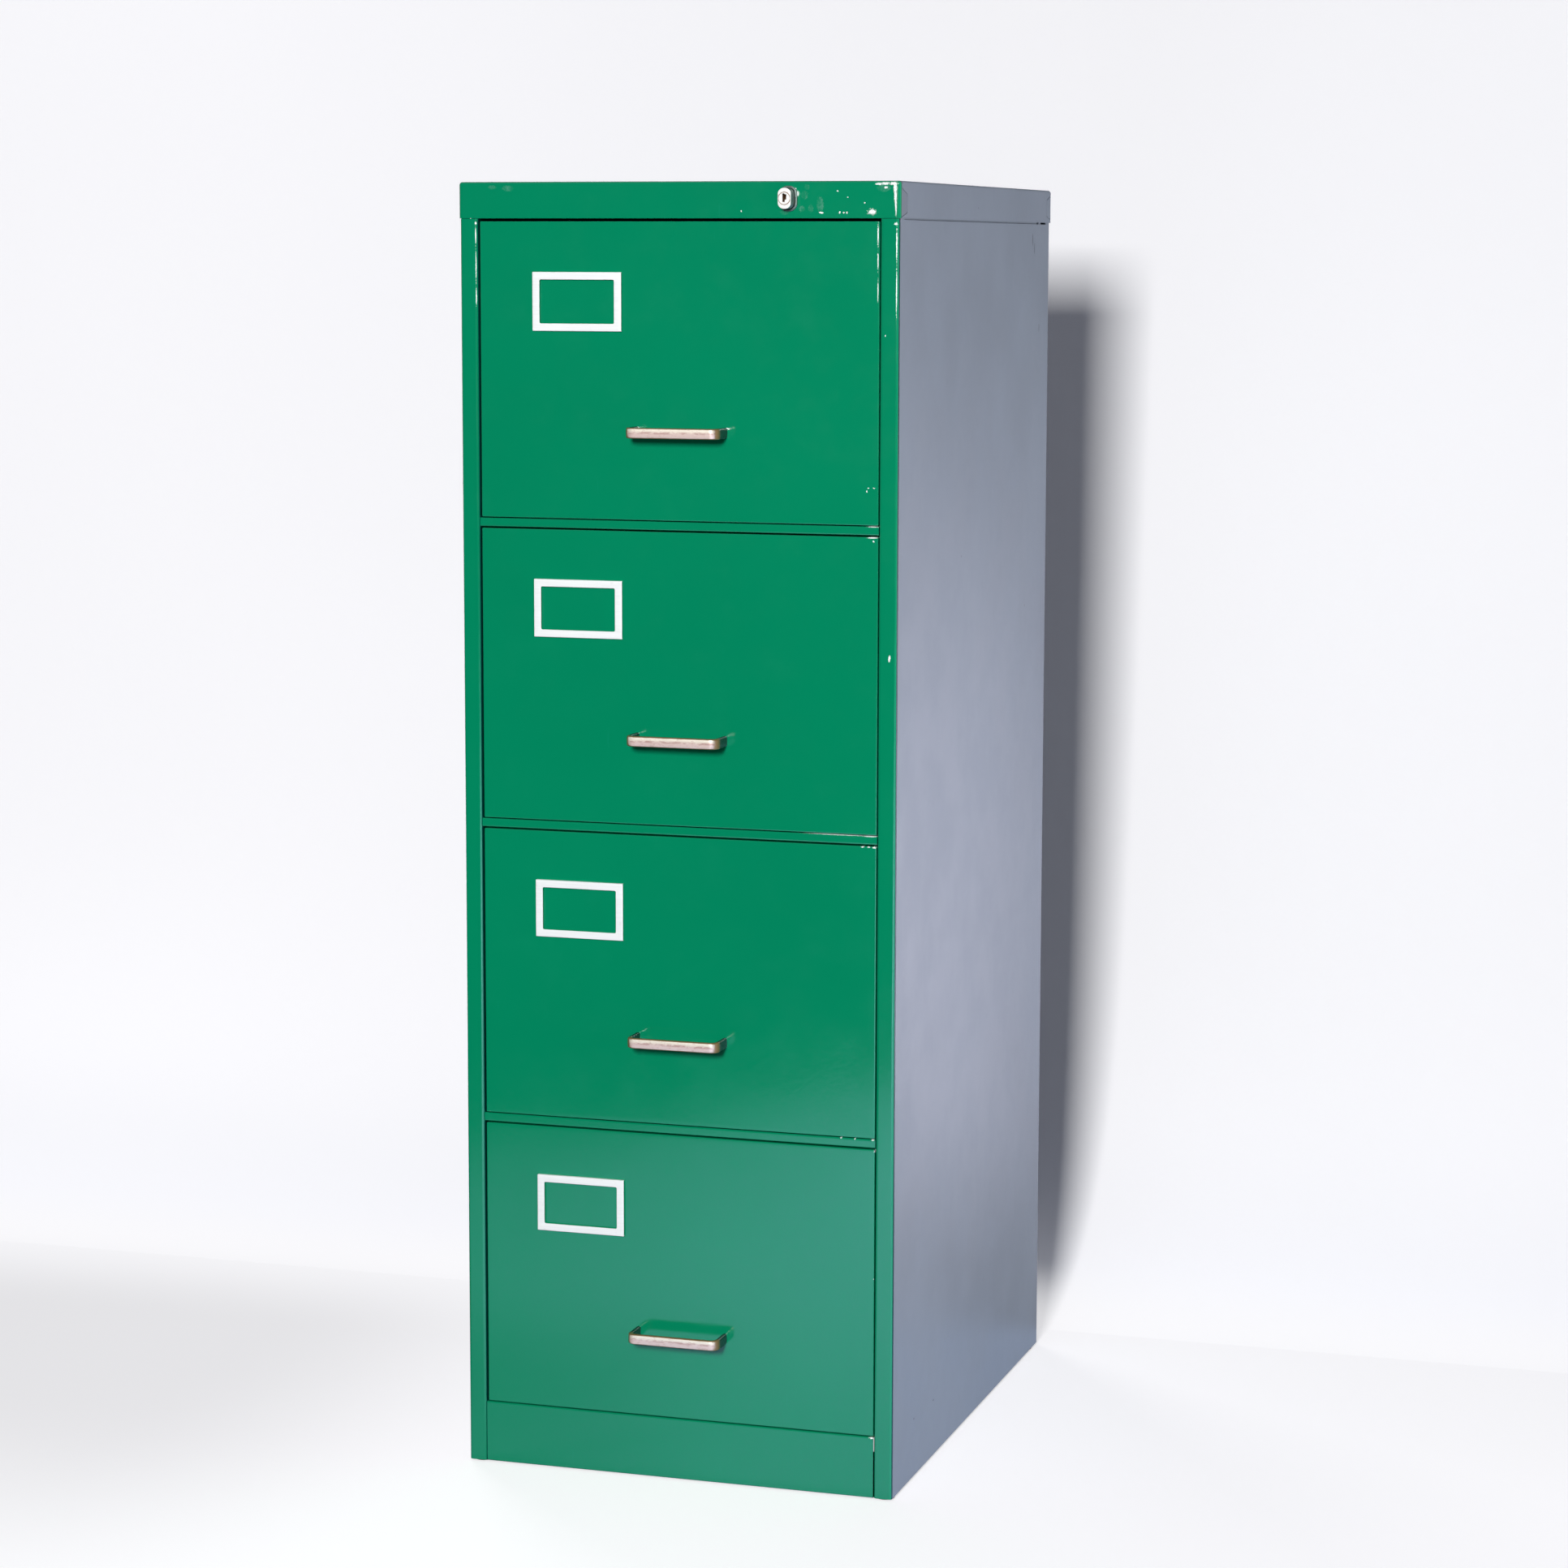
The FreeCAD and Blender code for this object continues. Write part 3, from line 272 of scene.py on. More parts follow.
def dress(finish, *nodes):
    """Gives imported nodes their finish."""
    for node in nodes:
        mesh = frame["nodes"][node].data
        mesh.materials.clear()
        mesh.materials.append(finish)


def numbered(node):
    """The names of the four nodes of one kind."""
    return [f"{node}_{number}" for number in NUMBERS]


def quarter(steps):
    """The sine, and one less the cosine, over a quarter turn. They draw a fold's section at radius one."""
    turn = np.linspace(0.0, RIGHT_ANGLE, steps + 1)
    return np.sin(turn), 1.0 - np.cos(turn)


def rectangle_ring(half_x, half_z, radius, steps=(PAN_GRID[0] - 1, PAN_GRID[1] - 1), corner_steps=5):
    """Points around a rectangle with round corners, anticlockwise from the lower left: straight sides
    cut into equal steps, and at each corner an arc of the radius about its own centre."""
    flat_x = half_x - radius
    flat_z = half_z - radius
    along_x = np.linspace(-flat_x, flat_x, steps[0] + 1)
    along_z = np.linspace(-flat_z, flat_z, steps[1] + 1)
    turn = np.linspace(0.0, RIGHT_ANGLE, corner_steps + 1)[1:-1]

    def arc(side_x, side_z, start):
        x = side_x * flat_x + radius * np.cos(start + turn)
        z = side_z * flat_z + radius * np.sin(start + turn)
        return np.stack([x, z], axis=-1)

    def side(x, z):
        return np.stack(np.broadcast_arrays(x, z), axis=-1)

    return np.concatenate([
        side(along_x, -half_z), arc(1, -1, -RIGHT_ANGLE),
        side(half_x, along_z), arc(1, 1, 0.0),
        side(along_x[::-1], half_z), arc(-1, 1, RIGHT_ANGLE),
        side(-half_x, along_z[::-1]), arc(-1, -1, math.pi),
    ])


def oval_ring(half_x, half_z, corner):
    """Points around a rectangle with large round corners: at each turn, the corner's centre plus the
    radius along that turn. With half sizes equal to the radius it is a circle."""
    turn = (np.arange(RING_POINTS) + 0.5) / RING_POINTS * FULL_TURN
    x = np.sign(np.cos(turn)) * (half_x - corner) + corner * np.cos(turn)
    z = np.sign(np.sin(turn)) * (half_z - corner) + corner * np.sin(turn)
    return np.stack([x, z], axis=-1)


def rings_in_space(rings, depths, centre):
    """Rings of (x, z) points set at depths behind a centre point, as one array of rows."""
    rows = np.zeros((len(rings), len(rings[0]), 3))
    rows[:, :, 0] = centre[0] + np.stack(rings)[:, :, 0]
    rows[:, :, 1] = centre[1] + np.reshape(depths, (len(rings), -1))
    rows[:, :, 2] = centre[2] + np.stack(rings)[:, :, 1]
    return rows


# Drawer pan

def sheet_swing(x, z, half, number, sizes):
    """How far a point of the pan's face lies out of flat: three slow waves across the face, times a
    smooth step that is nought at the border."""
    along, up, slant_along, slant_up = SWING_SPEEDS
    shifts = [number * shift for shift in SWING_SHIFTS]
    waves = np.sin(along * x + shifts[0]) * np.cos(up * z - shifts[1])
    waves = waves + 0.5 * np.sin(slant_along * x - slant_up * z + shifts[2])
    inside = np.minimum(half[0] - np.abs(x), half[1] - np.abs(z)) / sizes.quiet_border
    step = np.clip(inside, 0.0, 1.0)
    return sizes.waviness * waves * step * step * (3.0 - 2.0 * step)


def drawer_pan(number, sizes):
    """A drawer's front: one folded sheet. Its section runs from the face over the front fold, back
    along the flange, over the rear fold to the lip, and home along the inside. The section is carried
    around the front's outline, and two wavy grids close the face. The edge field is one in the middle
    of the front fold and falls off as a bell curve of the distance in fold radii."""
    centre, half, depth = measure(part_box(f"drawer_front_{number}"))
    sheet = sizes.sheet
    margin = 4.0 * sizes.edge_bend
    sine, rise = quarter(6)
    fold_in, fold_back = sizes.edge_bend * (1.0 - sine), sizes.edge_bend * rise
    rear_in, rear_back = sheet * rise, depth - sheet + sheet * sine
    same = np.concatenate([[margin], fold_in, rear_in])
    backs = np.concatenate([[0.0], fold_back, rear_back])
    inner = np.array([sheet, sheet, margin])
    inset_x = np.concatenate([same, [sizes.side_lip, sizes.side_lip], inner])
    inset_z = np.concatenate([same, [sizes.end_lip, sizes.end_lip], inner])
    backs = np.concatenate([backs, [depth, depth - sheet, depth - sheet, sheet, sheet]])
    rings = [
        rectangle_ring(half[0] - ex, half[1] - ez, max(sizes.corner - max(ex, ez), 0.0))
        for ex, ez in zip(inset_x, inset_z)
    ]
    skin = rings_in_space(rings, backs, centre)
    x, z = np.meshgrid(
        np.linspace(margin - half[0], half[0] - margin, PAN_GRID[0]),
        np.linspace(margin - half[1], half[1] - margin, PAN_GRID[1]),
    )
    swing = sheet_swing(x, z, (half[0] - margin, half[1] - margin), number, sizes)
    faces = [
        np.stack([centre[0] + x, centre[1] + start + swing, centre[2] + z], axis=-1)
        for start in (0.0, sheet)
    ]
    from_fold = np.hypot(inset_x - FOLD_MIDDLE * sizes.edge_bend, backs - FOLD_MIDDLE * sizes.edge_bend)
    worn = np.concatenate([
        np.repeat(np.exp(-((from_fold / sizes.edge_bend) ** 2)), skin.shape[1]), np.zeros(2 * x.size),
    ])
    patches = [(skin, False, True), (faces[0], False, False), (faces[1][:, ::-1], False, False)]
    return make_piece(f"drawer_pan_{number}", patches, {"edge": worn})


class CABINET_OT_drawer_pans(bpy.types.Operator):
    """Make the four drawer fronts from folded sheet"""

    bl_idname = "cabinet.drawer_pans"
    bl_label = "Drawer Fronts"

    def execute(self, context):
        finish = green_enamel("pan_enamel", context.scene.cabinet_colours, PAN_CHIPS_AND_HIGHLIGHTS, "edge")
        fit_each(drawer_pan, context.scene.cabinet_pan, "drawer_front", finish)
        return {"FINISHED"}


# Bow handle

def bow_path(left, right, rear, out, bend):
    """A bow seen from above: a leg forward, a quarter turn, the bar, a quarter turn and a leg back.
    Gives its points and the heading at each."""
    leg = np.linspace(rear, out + bend, BOW_POINTS[0])[:-1]
    turn = np.linspace(0.0, RIGHT_ANGLE, BOW_POINTS[1])
    bar = np.linspace(left + bend, right - bend, BOW_POINTS[2])[1:-1]
    x = np.concatenate([
        np.full(leg.size, left), left + bend - bend * np.cos(turn), bar,
        right - bend + bend * np.sin(turn), np.full(leg.size, right),
    ])
    y = np.concatenate([
        leg, out + bend - bend * np.sin(turn), np.full(bar.size, out),
        out + bend - bend * np.cos(turn), leg[::-1],
    ])
    heading = np.concatenate([
        np.full(leg.size, -RIGHT_ANGLE), turn - RIGHT_ANGLE, np.zeros(bar.size), turn,
        np.full(leg.size, RIGHT_ANGLE),
    ])
    return np.stack([x, y], axis=-1), heading


def bow_handle(number, sizes):
    """A handle: the strip's section, a rectangle with round edges and a crowned front, is carried
    along the bow. Each end closes in its middle. Shallow knocks, where two waves along the strip
    are both high, dent its front. The clean field is one on the bar's face, and the rise field runs
    from -1 at its lower edge to 1 at its upper one."""
    low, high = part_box(f"handle_{number}")
    half_strip = sizes.strip / 2.0
    half_tall = (high.z - low.z) / 2.0
    path, heading = bow_path(
        low.x + half_strip, high.x - half_strip, high.y, low.y + half_strip, sizes.bend - half_strip
    )
    section = rectangle_ring(half_strip, half_tall, sizes.edge, steps=(4, 10), corner_steps=5)
    out, up = section[:, 0], section[:, 1]
    out = out - np.where(out > 0.0, sizes.crown * (up / half_tall) ** 2, 0.0)
    travel = np.concatenate([[0.0], np.cumsum(np.hypot(*np.diff(path, axis=0).T))])
    knocks = np.prod([
        np.sin(travel[:, None] * along + up[None, :] * rise + shift * number)
        for along, rise, shift in KNOCK_SPEEDS
    ], axis=0)
    on_front = np.clip(out / half_strip, 0.0, 1.0)[None, :]
    reach = out[None, :] - sizes.dents * np.clip(knocks, 0.0, 1.0) * on_front
    # Right of the heading is the bow's outer side
    side = np.stack([np.sin(heading), -np.cos(heading)], axis=-1)
    rows = np.zeros((len(path), len(section), 3))
    rows[:, :, :2] = path[:, None, :] + side[:, None, :] * reach[:, :, None]
    rows[:, :, 2] = (low.z + high.z) / 2.0 + up[None, :]
    middle = rows.mean(axis=1, keepdims=True)
    rows = np.concatenate([
        np.broadcast_to(middle[:1], (1,) + rows.shape[1:]), rows,
        np.broadcast_to(middle[-1:], (1,) + rows.shape[1:]),
    ])
    forward = (high.y - path[:, 1]) / (high.y - low.y)
    bar = np.clip((forward - BAR_START) / BAR_FADE, 0.0, 1.0)
    face = on_front[0] * np.clip(1.25 - (np.abs(up) / half_tall) ** 6, 0.0, 1.0)
    clean = np.concatenate([[0.0], bar, [0.0]])[:, None] * face[None, :]
    rise = np.broadcast_to(up / half_tall, clean.shape)
    fields = {"clean": clean.ravel(), "rise": rise.ravel()}
    return make_piece(f"bow_handle_{number}", [(rows, False, True)], fields)


class CABINET_OT_handles(bpy.types.Operator):
    """Make the four bow handles and finish their screws"""

    bl_idname = "cabinet.handles"
    bl_label = "Handles"

    def execute(self, context):
        colours = context.scene.cabinet_colours
        finish = worn_nickel("worn_nickel", colours)
        fit_each(bow_handle, context.scene.cabinet_handle, "handle", finish)
        dress(zinc_plate("screw_zinc", colours), *numbered("handle_screws"))
        return {"FINISHED"}


# Label frame

def label_rim(number, sizes):
    """A label frame: a flat rim whose section runs from the window's edge across the slightly crowned
    border, over the outer edge and back along the return, then home behind the plate. The section is
    carried round the window. At the right the return is as thin as the plate, so cards can slide in."""
    centre, half, _ = measure(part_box(f"label_frame_{number}"))
    window = (half[0] - sizes.border, half[1] - sizes.border)
    reach = FRONT - centre[1]
    plate = sizes.plate
    sine, rise = quarter(4)
    small = sizes.window_edge
    outer_edge = sizes.border - sizes.edge * (1.0 - sine)
    grow = np.concatenate([[0.0], small * rise, [sizes.border / 2.0], outer_edge])
    depth = np.concatenate([[plate], small * (1.0 - sine), [-sizes.crown], sizes.edge * rise])
    corner = np.where(grow > sizes.border / 2.0, sizes.edge, sizes.window_corner)
    ring = functools.partial(rectangle_ring, steps=(16, 10), corner_steps=4)
    rings = [ring(window[0] + out, window[1] + out, radius) for out, radius in zip(grow, corner)]
    outer = ring(half[0], half[1], sizes.edge)
    inside = ring(half[0] - plate, half[1] - plate, 0.0)
    at_right = outer[:, 0] > half[0] - 0.5 * sizes.edge
    wall_end = np.where(at_right, plate, reach)[None, :]
    depths = np.concatenate([
        np.repeat(depth[:, None], len(outer), axis=1), wall_end, wall_end, np.full((1, len(outer)), plate),
    ])
    rows = rings_in_space(rings + [outer, inside, inside], depths, centre)
    return make_piece(f"label_rim_{number}", [(rows, True, True)])


class CABINET_OT_label_frames(bpy.types.Operator):
    """Make the four open label frames"""

    bl_idname = "cabinet.label_frames"
    bl_label = "Label Frames"

    def execute(self, context):
        finish = label_metal("label_metal", context.scene.cabinet_colours)
        fit_each(label_rim, context.scene.cabinet_label, "label_frame", finish)
        return {"FINISHED"}


# Lock

def lock_button(sizes):
    """The push button: rings from the bottom of its bore out over the face and back along the grooved
    side, then over the stepped tail to a point on its axis. The bore's rings are circles and the
    side's are the button's outline, with equal turns joined."""
    centre, _, end = measure(BUTTON)
    half = (sizes.width / 2.0, sizes.tall / 2.0)
    step = sizes.chamfer
    sine, rise = quarter(5)

    def circle(radius):
        return oval_ring(radius, radius, radius)

    def outline(inset):
        return oval_ring(half[0] - inset, half[1] - inset, sizes.corner - inset)

    rings = [circle(0.0), circle(sizes.bore), circle(sizes.bore), circle(sizes.bore + step)]
    depths = [sizes.bore_depth, sizes.bore_depth, step, 0.0]
    rings += [outline(inset) for inset in sizes.edge * (1.0 - sine)]
    depths += list(sizes.edge * rise)
    for start in GROOVE_STARTS:
        rings += [outline(inset) for inset in (0.0, sizes.groove, sizes.groove, 0.0)]
        depths += [start, start + step, start + 4.0 * step, start + 5.0 * step]
    rings += [outline(0.0), circle(sizes.tail), circle(sizes.tail)]
    depths += [sizes.body, sizes.body, end - sizes.nose_length]
    rings += [circle(sizes.nose), circle(sizes.nose), circle(0.0)]
    depths += [end - sizes.nose_length, end, end]
    return make_piece("lock_button_body", [(rings_in_space(rings, depths, centre), False, True)])


def slot_ring(grow):
    """The stepped key slot's outline: a tall slit joined to a shorter one at its right. Each side is cut
    into equal steps."""
    left, middle, right = -0.0017 - grow, 0.0006 + grow, 0.0021 + grow
    top, low = 0.0046 + grow, -0.0034 - grow
    ward_top, ward_low = 0.0038 + grow, -0.0012 - grow
    corners = np.array([
        (left, low), (middle, low), (middle, ward_low), (right, ward_low),
        (right, ward_top), (middle, ward_top), (middle, top), (left, top),
    ])
    part = np.linspace(0.0, 1.0, RING_POINTS // len(corners), endpoint=False)[:, None]
    ahead = np.roll(corners, -1, axis=0)
    return (corners[:, None, :] * (1.0 - part) + ahead[:, None, :] * part).reshape(-1, 2)


def lock_plug(sizes):
    """The turning core: rings from the bottom of the key slot out over the face and back along the
    side. Each ring of the slot meets the circle's point that lies on the same ray."""
    centre, (radius, _), end = measure(PLUG)
    slot = slot_ring(0.0)
    ray = np.arctan2(slot[:, 1] - SLOT_MIDDLE[1], slot[:, 0] - SLOT_MIDDLE[0])

    def circle(size):
        return np.stack([size * np.cos(ray), size * np.sin(ray)], axis=-1)

    step = sizes.chamfer
    rings = [np.broadcast_to(SLOT_MIDDLE, slot.shape), slot, slot, slot_ring(step / 2.0)]
    depths = [sizes.key_depth, sizes.key_depth, step, 0.0]
    rings += [circle(FACE_RING * radius), circle(radius - step), circle(radius), circle(radius), circle(0.0)]
    depths += [0.0, 0.0, step, end, end]
    return make_piece("lock_core_plug", [(rings_in_space(rings, depths, centre), False, True)])


class CABINET_OT_lock(bpy.types.Operator):
    """Make the lock button and its plug, and finish the lock's other pieces"""

    bl_idname = "cabinet.lock"
    bl_label = "Lock"

    def execute(self, context):
        sizes = context.scene.cabinet_lock
        colours = context.scene.cabinet_colours
        plating = lock_plating("lock_plating", colours)
        fit(lock_button(sizes), "lock_button", "lock_plunger", plating)
        fit(lock_plug(sizes), "lock_core", "lock_plug", plug_metal("plug_metal", colours))
        dress(plating, "lock_housing")
        works = zinc_plate("lock_works_zinc", colours)
        dress(works, "lock_shaft", "lock_bar", "lock_bar_spring", "lock_brackets", *numbered("drawer_catch"))
        return {"FINISHED"}


# Finishes

MILLIMETRE = 0.001
CHIP_NOISE = (1300.0, 4.0, 0.7)
CHIP_RIM = (1.05, 0.85)
FASCIA_WRAP = 0.0034
POST_WRAP = 0.0011
METAL_GRAIN = 0.00002
LEG_SPAN = (FRONT - 0.020, FRONT - 0.026)
COLLAR_SPAN = (BUTTON[0].y + 0.0007, BUTTON[0].y + 0.0012)
SLOT_SPAN = (PLUG[0].y + 0.0002, PLUG[0].y + 0.0012)
PLUG_RIM = (0.0006, 0.0003)
GREEN_FILM = (0.02, 0.36, 0.26)
GREEN_NIB = (0.15, 0.60, 0.45)
GREEN_SCRATCH = (0.03, 0.38, 0.28)
GREEN_SCUFF = (0.16, 0.38, 0.31)
GREY_RUB = (0.36, 0.38, 0.43)
GREY_STREAK = (0.10, 0.11, 0.13)
GREY_NIB = (0.05, 0.05, 0.055)
GREY_SCRATCH = (0.075, 0.08, 0.09)
INNER_DUST = (0.40, 0.38, 0.34)
# Painted shade with a painted reflection of the green paint, on the handles' legs
LEG_SHADE = (0.020, 0.060, 0.050)
NICKEL_PIT = (0.03, 0.02, 0.012)
LABEL_SPOT = (0.62, 0.62, 0.59)
# Painted shade with a painted reflection of the green paint, on the lock button's side
SIDE_SHADE_AND_REFLECTION = ((0.01, 0.035, 0.03), (0.07, 0.13, 0.11))
GREASE = (0.30, 0.25, 0.17)
RUBBER_SCUFF = (0.07, 0.068, 0.064)
FOOT_SCUFF = (0.34, 0.22, 0.16)

# Worn spots and painted highlights in millimetres: x, or y on the panels, then z, half width and half height
# The first three tall spots down the top drawer's right fold and the flat spots along the drawers' top edges
# near the right are painted highlights; the spots beside the handles' feet are chips
PAN_CHIPS_AND_HIGHLIGHTS = (
    (207.3, 1270, 0.6, 11), (207.4, 1244, 0.5, 8), (207.5, 1215, 0.4, 10),
    (203, 974.7, 5, 0.7), (204.5, 971.3, 0.8, 0.8), (195, 668, 1.6, 0.6), (201, 668, 1.2, 0.6),
    (207, 667.8, 1.8, 0.8), (209.4, 360.8, 1, 1.1), (199, 1023.2, 1, 0.4),
    (204.5, 1023.2, 1.1, 0.5), (197.2, 1020, 0.5, 0.9), (-40.5, 1078.5, 1.6, 1.1),
    (53.5, 1079, 2.6, 0.7), (-43, 770.7, 0.8, 0.8), (-42.5, 464, 0.8, 1),
)
# The spots along the fascia's top edge near the right and down its right end are a painted highlight mixed
# with chips; the rest are chips
FASCIA_CHIPS_AND_HIGHLIGHTS = (
    (201.2, 1291.1, 3.8, 2.4), (172.5, 1290.2, 0.9, 0.8), (168.4, 1290.6, 0.8, 1),
    (175.7, 1290.3, 0.8, 0.8), (149.7, 1290.4, 2.2, 0.8), (193.7, 1299.7, 0.6, 0.6),
    (166, 1311.2, 0.9, 0.6), (176.5, 1305.1, 0.5, 0.5), (122.8, 1311, 1.4, 2.6),
    (125, 1308.5, 1.2, 2.2), (112.7, 1315.5, 0.6, 0.6), (67.7, 1291.8, 0.6, 0.7),
    (208, 1318, 3.4, 1), (215, 1318.4, 5, 1.1), (222.5, 1318.2, 4, 1.4),
    (215, 1314.5, 1.6, 1), (224.3, 1314, 1.6, 5.2), (224.7, 1306, 1.2, 6.5),
    (225.1, 1297.5, 0.8, 7), (225.3, 1291.5, 0.4, 4),
)
FASCIA_SCUFFS = (
    (148.5, 1298.5, 3.4, 7.5), (132.5, 1307.5, 3.5, 4), (130, 1294, 3, 3),
    (139, 1294.5, 2.6, 3.5), (135, 1315, 2.6, 2.6), (112, 1290.5, 4.5, 2.4),
    (213, 1314, 6.5, 3.5), (-194, 1315.5, 4, 2.2), (-177, 1314.5, 6, 3),
)
# The tall thin spots down the left post's inner fold and the right post's corner, and the spot at the top of
# that corner, are painted highlights; the rest are chips
POST_CHIPS_AND_HIGHLIGHTS = (
    (225.3, 1279.6, 1.4, 1.2), (-212, 1280.1, 0.9, 1.2), (-211.9, 1268, 0.5, 8),
    (-211.8, 1238, 0.4, 14), (-211.7, 1207, 0.4, 8), (221.2, 856, 1, 3),
    (215.3, 1171.8, 0.6, 0.8), (226.2, 1260, 0.6, 15), (226.2, 1215, 0.5, 20),
)
# All but the last are painted highlights along the rails' top edges near the right; the last is a chip on
# the plinth
RAIL_HIGHLIGHTS_AND_CHIPS = (
    (203.6, 985.5, 5, 0.6), (203, 678.8, 7, 0.7), (170, 678.9, 30, 0.4), (173.7, 372, 0.9, 0.6),
    (188.1, 371.9, 0.7, 0.6), (206.7, 371.9, 1.6, 0.7), (208, 64.5, 2.6, 0.9),
)
PANEL_SCRATCHES = (
    (246.8, 1266.4, 1.2, 7), (255.9, 1257, 1, 6), (279.9, 1169.9, 0.9, 5),
    (-210.4, 62.8, 1.5, 1), (-134.1, 61.2, 1.8, 1.2),
)
CAP_SCRATCHES = (
    (5.1, 1298.3, 0.7, 0.9),
)


class Recipe:
    """A finish while it is mixed: its material or world, and short makers for the nodes of its tree."""

    def __init__(self, name, kind="materials", coordinates="Object"):
        self.block = getattr(bpy.data, kind).new(name)
        self.block.use_nodes = True
        self.tree = self.block.node_tree
        self.place = self.add("ShaderNodeTexCoord").outputs[coordinates]
        self.axes = self.add("ShaderNodeSeparateXYZ", {0: self.place}).outputs

    def add(self, kind, inputs=None, **settings):
        """One node, with its settings, and for each input a value or another node's output."""
        made = self.tree.nodes.new(kind)
        for setting, value in settings.items():
            setattr(made, setting, value)
        self.feed(made, inputs or {})
        return made

    def feed(self, made, inputs):
        """Sets a node's inputs to values, or links them to other nodes' outputs."""
        for key, value in inputs.items():
            if isinstance(value, bpy.types.NodeSocket):
                self.tree.links.new(value, made.inputs[key])
            else:
                made.inputs[key].default_value = value

    def math(self, operation, *values):
        """The result of one sum."""
        return self.add("ShaderNodeMath", dict(enumerate(values)), operation=operation).outputs[0]

    def times(self, *values):
        """The product of several values."""
        return functools.reduce(functools.partial(self.math, "MULTIPLY"), values)

    def largest(self, *masks):
        """The largest of several masks."""
        return functools.reduce(functools.partial(self.math, "MAXIMUM"), masks)

    def field(self, name):
        """The values that a mesh keeps under a name."""
        return self.add("ShaderNodeAttribute", attribute_name=name).outputs["Fac"]

    def noise(self, scale, detail=2.0, roughness=0.5, stretch=(1.0, 1.0, 1.0)):
        """Noise from nought to one, in cells per metre, stretched along the axes."""
        mapped = self.add("ShaderNodeMapping", {"Vector": self.place, "Scale": stretch})
        inputs = {"Vector": mapped.outputs[0], "Scale": scale, "Detail": detail, "Roughness": roughness}
        return self.add("ShaderNodeTexNoise", inputs).outputs["Fac"]

    def fade(self, value, start, end, low=0.0, high=1.0):
        """A smooth step from low to high as the value goes from start to end."""
        inputs = {"Value": value, "From Min": start, "From Max": end, "To Min": low, "To Max": high}
        made = self.add("ShaderNodeMapRange", inputs, interpolation_type="SMOOTHSTEP")
        return made.outputs["Result"]

    def mix(self, factor, first, second):
        """A blend of two colours."""
        made = self.add("ShaderNodeMix", data_type="RGBA")
        self.feed(made, {0: factor, 6: opaque(first), 7: opaque(second)})
        return made.outputs[2]

    def blend(self, factor, first, second):
        """A value between two others."""
        return self.add("ShaderNodeMix", {0: factor, 2: first, 3: second}).outputs[0]

    def stain(self, base, colour, pattern, start, end, most):
        """A colour with another laid over it, by most where a pattern has gone from start to end."""
        return self.mix(self.fade(pattern, start, end, 0.0, most), base, colour)

    def shade(self, base, factor):
        """A colour made darker or lighter by a factor."""
        grey = self.add("ShaderNodeCombineColor", {0: factor, 1: factor, 2: factor}).outputs[0]
        made = self.add("ShaderNodeMix", data_type="RGBA", blend_type="MULTIPLY")
        self.feed(made, {0: 1.0, 6: opaque(base), 7: grey})
        return made.outputs[2]

    def specks(self, scale, size, share_of_cells):
        """Small round specks: points of a cell pattern that lie near the surface, in some cells."""
        cells = self.add("ShaderNodeTexVoronoi", {"Vector": self.place, "Scale": scale})
        near = self.fade(cells.outputs["Distance"], size, 0.5 * size)
        chosen = self.fade(cells.outputs["Color"], 1.0 - share_of_cells, 1.0 - 0.9 * share_of_cells)
        return self.times(near, chosen)

    def away(self, axis, across, up, half_across=1.0, half_up=1.0):
        """Distance from a place on an upright face, in half widths and half heights of a spot there."""
        run = self.math("DIVIDE", self.math("SUBTRACT", self.axes[axis], across), half_across)
        rise = self.math("DIVIDE", self.math("SUBTRACT", self.axes[2], up), half_up)
        return self.math("SQRT", self.math("MULTIPLY_ADD", run, run, self.times(rise, rise)))

    def chips(self, places, raggedness, axis=0):
        """Ragged spots on an upright face. Each place is (x or y, z, half width, half height) in
        millimetres."""
        spots = [self.away(axis, *(MILLIMETRE * size for size in place)) for place in places]
        nearest = functools.reduce(functools.partial(self.math, "MINIMUM"), spots)
        rough = self.math("MULTIPLY_ADD", self.noise(*CHIP_NOISE), raggedness, -0.5 * raggedness)
        return self.fade(self.math("ADD", nearest, rough), *CHIP_RIM)

    def bump(self, height, distance, under=None):
        """A normal from a height pattern, over another normal if there is one."""
        inputs = {"Height": height, "Distance": distance, "Strength": 1.0}
        if under is not None:
            inputs["Normal"] = under
        return self.add("ShaderNodeBump", inputs).outputs[0]

    def finish(self, **inputs):
        """Feeds the shader and gives the material. An underscore in a name stands for a blank."""
        named = {key.replace("_", " "): value for key, value in inputs.items()}
        if not isinstance(named["Base Color"], bpy.types.NodeSocket):
            named["Base Color"] = opaque(named["Base Color"])
        self.feed(self.tree.nodes["Principled BSDF"], named)
        return self.block


def opaque(value):
    """A colour with full alpha, or a node's output as it is."""
    return value if isinstance(value, bpy.types.NodeSocket) else (*value[:3], 1.0)


def enamel_parts(recipe, base, cloud=0.03):
    """The paint's colour with slow clouding, and the normal of its orange peel."""
    clouding = recipe.fade(recipe.noise(3.1, 3.0), 0.25, 0.75, 1.0 - cloud, 1.0 + cloud)
    shaded = recipe.shade(base, clouding)
    peel = recipe.bump(recipe.noise(190.0, 2.0), 0.00003)
    grain = recipe.bump(recipe.noise(1400.0, 1.0), 0.000006, peel)
    return shaded, grain


